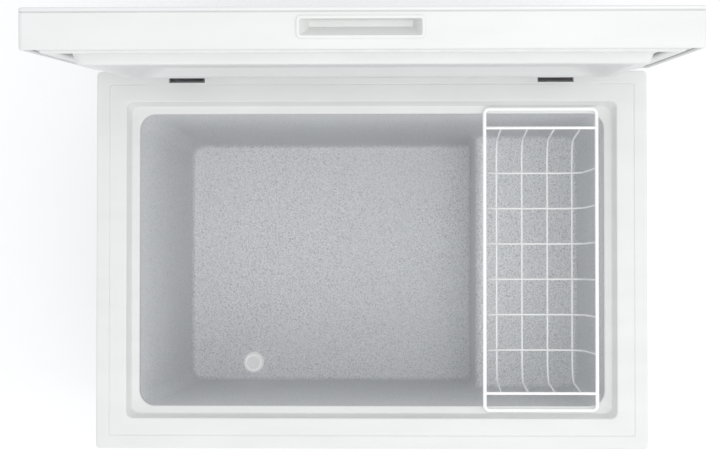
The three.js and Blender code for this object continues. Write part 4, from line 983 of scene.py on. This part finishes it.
# ------------------------------------------------------------------ feet, rollers and hinges
def feet_and_rollers():
    """The levelling feet at the front, and the rollers on their axles and brackets behind."""
    for word, side in (("left", -1), ("right", 1)):
        foot = turned([(0, 0, 0), (16.5, 0, 0.6), (18, 1.5, 0.8), (18, 7, 1), (15, 10, 1.5), (9, 11, 0.6),
                       (9, 16, 0.5), (5, 16, 0.3), (5, 42, 0.6), (0, 42, 0)],
                      (side * FOOT[0], FOOT[1], 0), "z", 48)
        make(f"levelling_foot_{word}_fine", foot, RUBBER, f"levelling_foot_{word}",
             (f"levelling_foot_{word}",))
        centre = (side * ROLLER[0], *ROLLER[1:])
        wheel = turned([(3.3, -9, 0.3), (7, -9, 0.4), (7.6, -8.2, 0.4), (10, -8.2, 0.4), (10.6, -9, 0.4),
                        (12, -9, 1), (12, 9, 1), (10.6, 9, 0.4), (10, 8.2, 0.4), (7.6, 8.2, 0.4),
                        (7, 9, 0.4), (3.3, 9, 0.3), (3.3, -9, 0)], centre, "x", 48, 4)
        make(f"roller_{word}_fine", wheel, RUBBER, f"roller_{word}", (f"roller_{word}",))
        axle = turned([(0, -14.3, 0), (4.5, -14.3, 0.7), (4.5, -12.3, 0.2), (3, -12.3, 0), (3, 12.3, 0),
                       (4.5, 12.3, 0.2), (4.5, 14.3, 0.7), (0, 14.3, 0)], centre, "x", 32)
        make(f"roller_axle_{word}_fine", axle, PLATED, "cabinet", (f"roller_axle_{word}",))
        softened(f"roller_bracket_{word}", ZINC, 0.3)


def hinges():
    """The pins and their coil springs, the fixed channels and the leaves of both hinges."""
    for word, side in (("left", -1), ("right", 1)):
        x = side * HINGE_X
        centre = (x, HINGE_Y, HINGE_Z)
        pin = turned([(0, -27.6, 0), (4.6, -27.6, 0.8), (4.6, -25.8, 0.2), (3, -25.8, 0), (3, 25.8, 0),
                      (4.2, 25.8, 0.2), (4.2, 27.3, 0.6), (0, 27.3, 0)], centre, "x", 32)
        make(f"hinge_pin_{word}_fine", pin, PLATED, "cabinet", (f"hinge_pin_{word}",))
        turns, pitch, coil_radius = 4, 3, 5.4
        turn = np.linspace(0, 2 * np.pi * turns, 24 * turns + 1)
        coil = np.stack([x + pitch * (turn / (2 * np.pi) - turns / 2), HINGE_Y + coil_radius * np.cos(turn),
                         HINGE_Z + coil_radius * np.sin(turn)], -1)
        make(f"hinge_spring_{word}_fine", tube(coil, 0.95, 10, Skin()), PLATED, "cabinet",
             (f"hinge_spring_{word}",))
        # The fixed channel's dark steel is partly its own blued tone and partly painted shade inside the
        # hinge.
        softened(f"hinge_base_{word}", DARK_STEEL_AND_SHADE, 0.3)
        softened(f"hinge_leaf_{word}", PLATED, 0.3)


# ------------------------------------------------------------------ cooling unit and back
def cooling_unit():
    """The compressor and its fittings, behind the vents and the back cover."""
    cx, cy = COMPRESSOR[:2]
    shell = turned([(0, 0, 0), (38, 1, 8), (57, 9, 12), (66, 26, 16), (68, 68.5, 1), (71, 69.5, 0.8),
                    (71, 74.5, 0.8), (67, 75.5, 1), (66, 107, 16), (59, 130, 16), (35, 142, 14), (0, 145, 0)],
                   COMPRESSOR, "z", 72, 6)
    make("compressor_shell_fine", shell, BLACK, "cabinet", ("compressor_shell",))
    softened("compressor_plate", BLACK, 0.3)
    softened("compressor_terminal_cover", BLACK_PLASTIC, 0.6)
    softened("thermostat_body", BLACK_PLASTIC, 0.6)
    base = WRAP_BOTTOM + SHEET + GAP
    waist = 14 - 2 * GAP
    top = waist + 3.1
    for k, (sx, sy) in enumerate(((-1, -1), (-1, 1), (1, -1), (1, 1))):
        ring = turned([(3.5, 0, 0.3), (11, 0, 1), (11, waist, 0.8), (7, waist, 0), (7, top, 0),
                       (10, top, 0.8), (10, top + 5, 1), (3.5, top + 5, 0.3), (3.5, 0, 0)],
                      (cx + sx * COMPRESSOR_FEET[0], cy + sy * COMPRESSOR_FEET[1], base), "z", 32, 3)
        make(f"compressor_grommet_{k + 1}_fine", ring, RUBBER, "cabinet", (f"compressor_grommet_{k + 1}",))
    gland = turned([(3.6, 8, 0.3), (3.6, -5, 0.3), (6, -5, 0.6), (11, -2.5, 1), (11, 0, 0.4),
                    (7.5, 0, 0.2), (7.5, 8, 0.5), (3.6, 8, 0)], (GLAND[0], COVER_FACE, GLAND[1]), "y", 40, 4)
    make("cord_gland_fine", gland, RUBBER, "cabinet", ("cord_gland",))
    softened("filter_drier", COPPER, 0)
    for node in ("condenser_coil", "evaporator_coil", "suction_tube", "discharge_tube", "capillary_tube"):
        carry(node, COPPER)


def carry(node, finish):
    """Keeps a node as it is and gives it its finish."""
    piece = frame["nodes"][node]
    piece.data.materials.clear()
    piece.data.materials.append(finish)


def sheet_metal():
    """The back, the base, the vent and the rear cover with its screws, and the foam inside."""
    for node, width in (("back_panel", 0.15), ("base_pan", 0.2), ("rear_cover", 0.2)):
        softened(node, ZINC, width)
    softened("side_vent_grille", WHITE, 0.35)
    for k, (sx, sz) in enumerate(((-1, -1), (-1, 1), (1, -1), (1, 1))):
        place = (COVER[0] + sx * COVER_SCREWS[0], COVER_FACE, COVER[1] + sz * COVER_SCREWS[1])
        screw = turned([(0, 7, 0), (1.9, 7, 0.4), (1.9, 0, 0), (4, 0, 0.2), (4, -1.2, 0.8), (2.8, -2.3, 1),
                        (1.4, -2.4, 0.2), (1.2, -1.2, 0.1), (0, -1.2, 0)], place, "y", 28, 3)
        make(f"rear_cover_screw_{k + 1}_fine", screw, PLATED, "cabinet", (f"rear_cover_screw_{k + 1}",))
    carry("cabinet_foam", FOAM)
    carry("lid_foam", FOAM)


def floor_sheet():
    """A wide level floor under the freezer, which isn't part of it."""
    half = 40
    corners = [(-half, -half, 0), (half, -half, 0), (half, half, 0), (-half, half, 0)]
    mesh = bpy.data.meshes.new("studio_floor")
    mesh.from_pydata(corners, [], [(0, 1, 2, 3)])
    mesh.materials.append(studio_floor())
    sheet = bpy.data.objects.new("studio_floor", mesh)
    scene.collection.objects.link(sheet)


wrap_around()
collar()
tub()
lid_frame()
lid_top()
lid_inside()
lid_seal()
handle()
basket()
drain_pieces()
controls()
feet_and_rollers()
hinges()
cooling_unit()
sheet_metal()
floor_sheet()
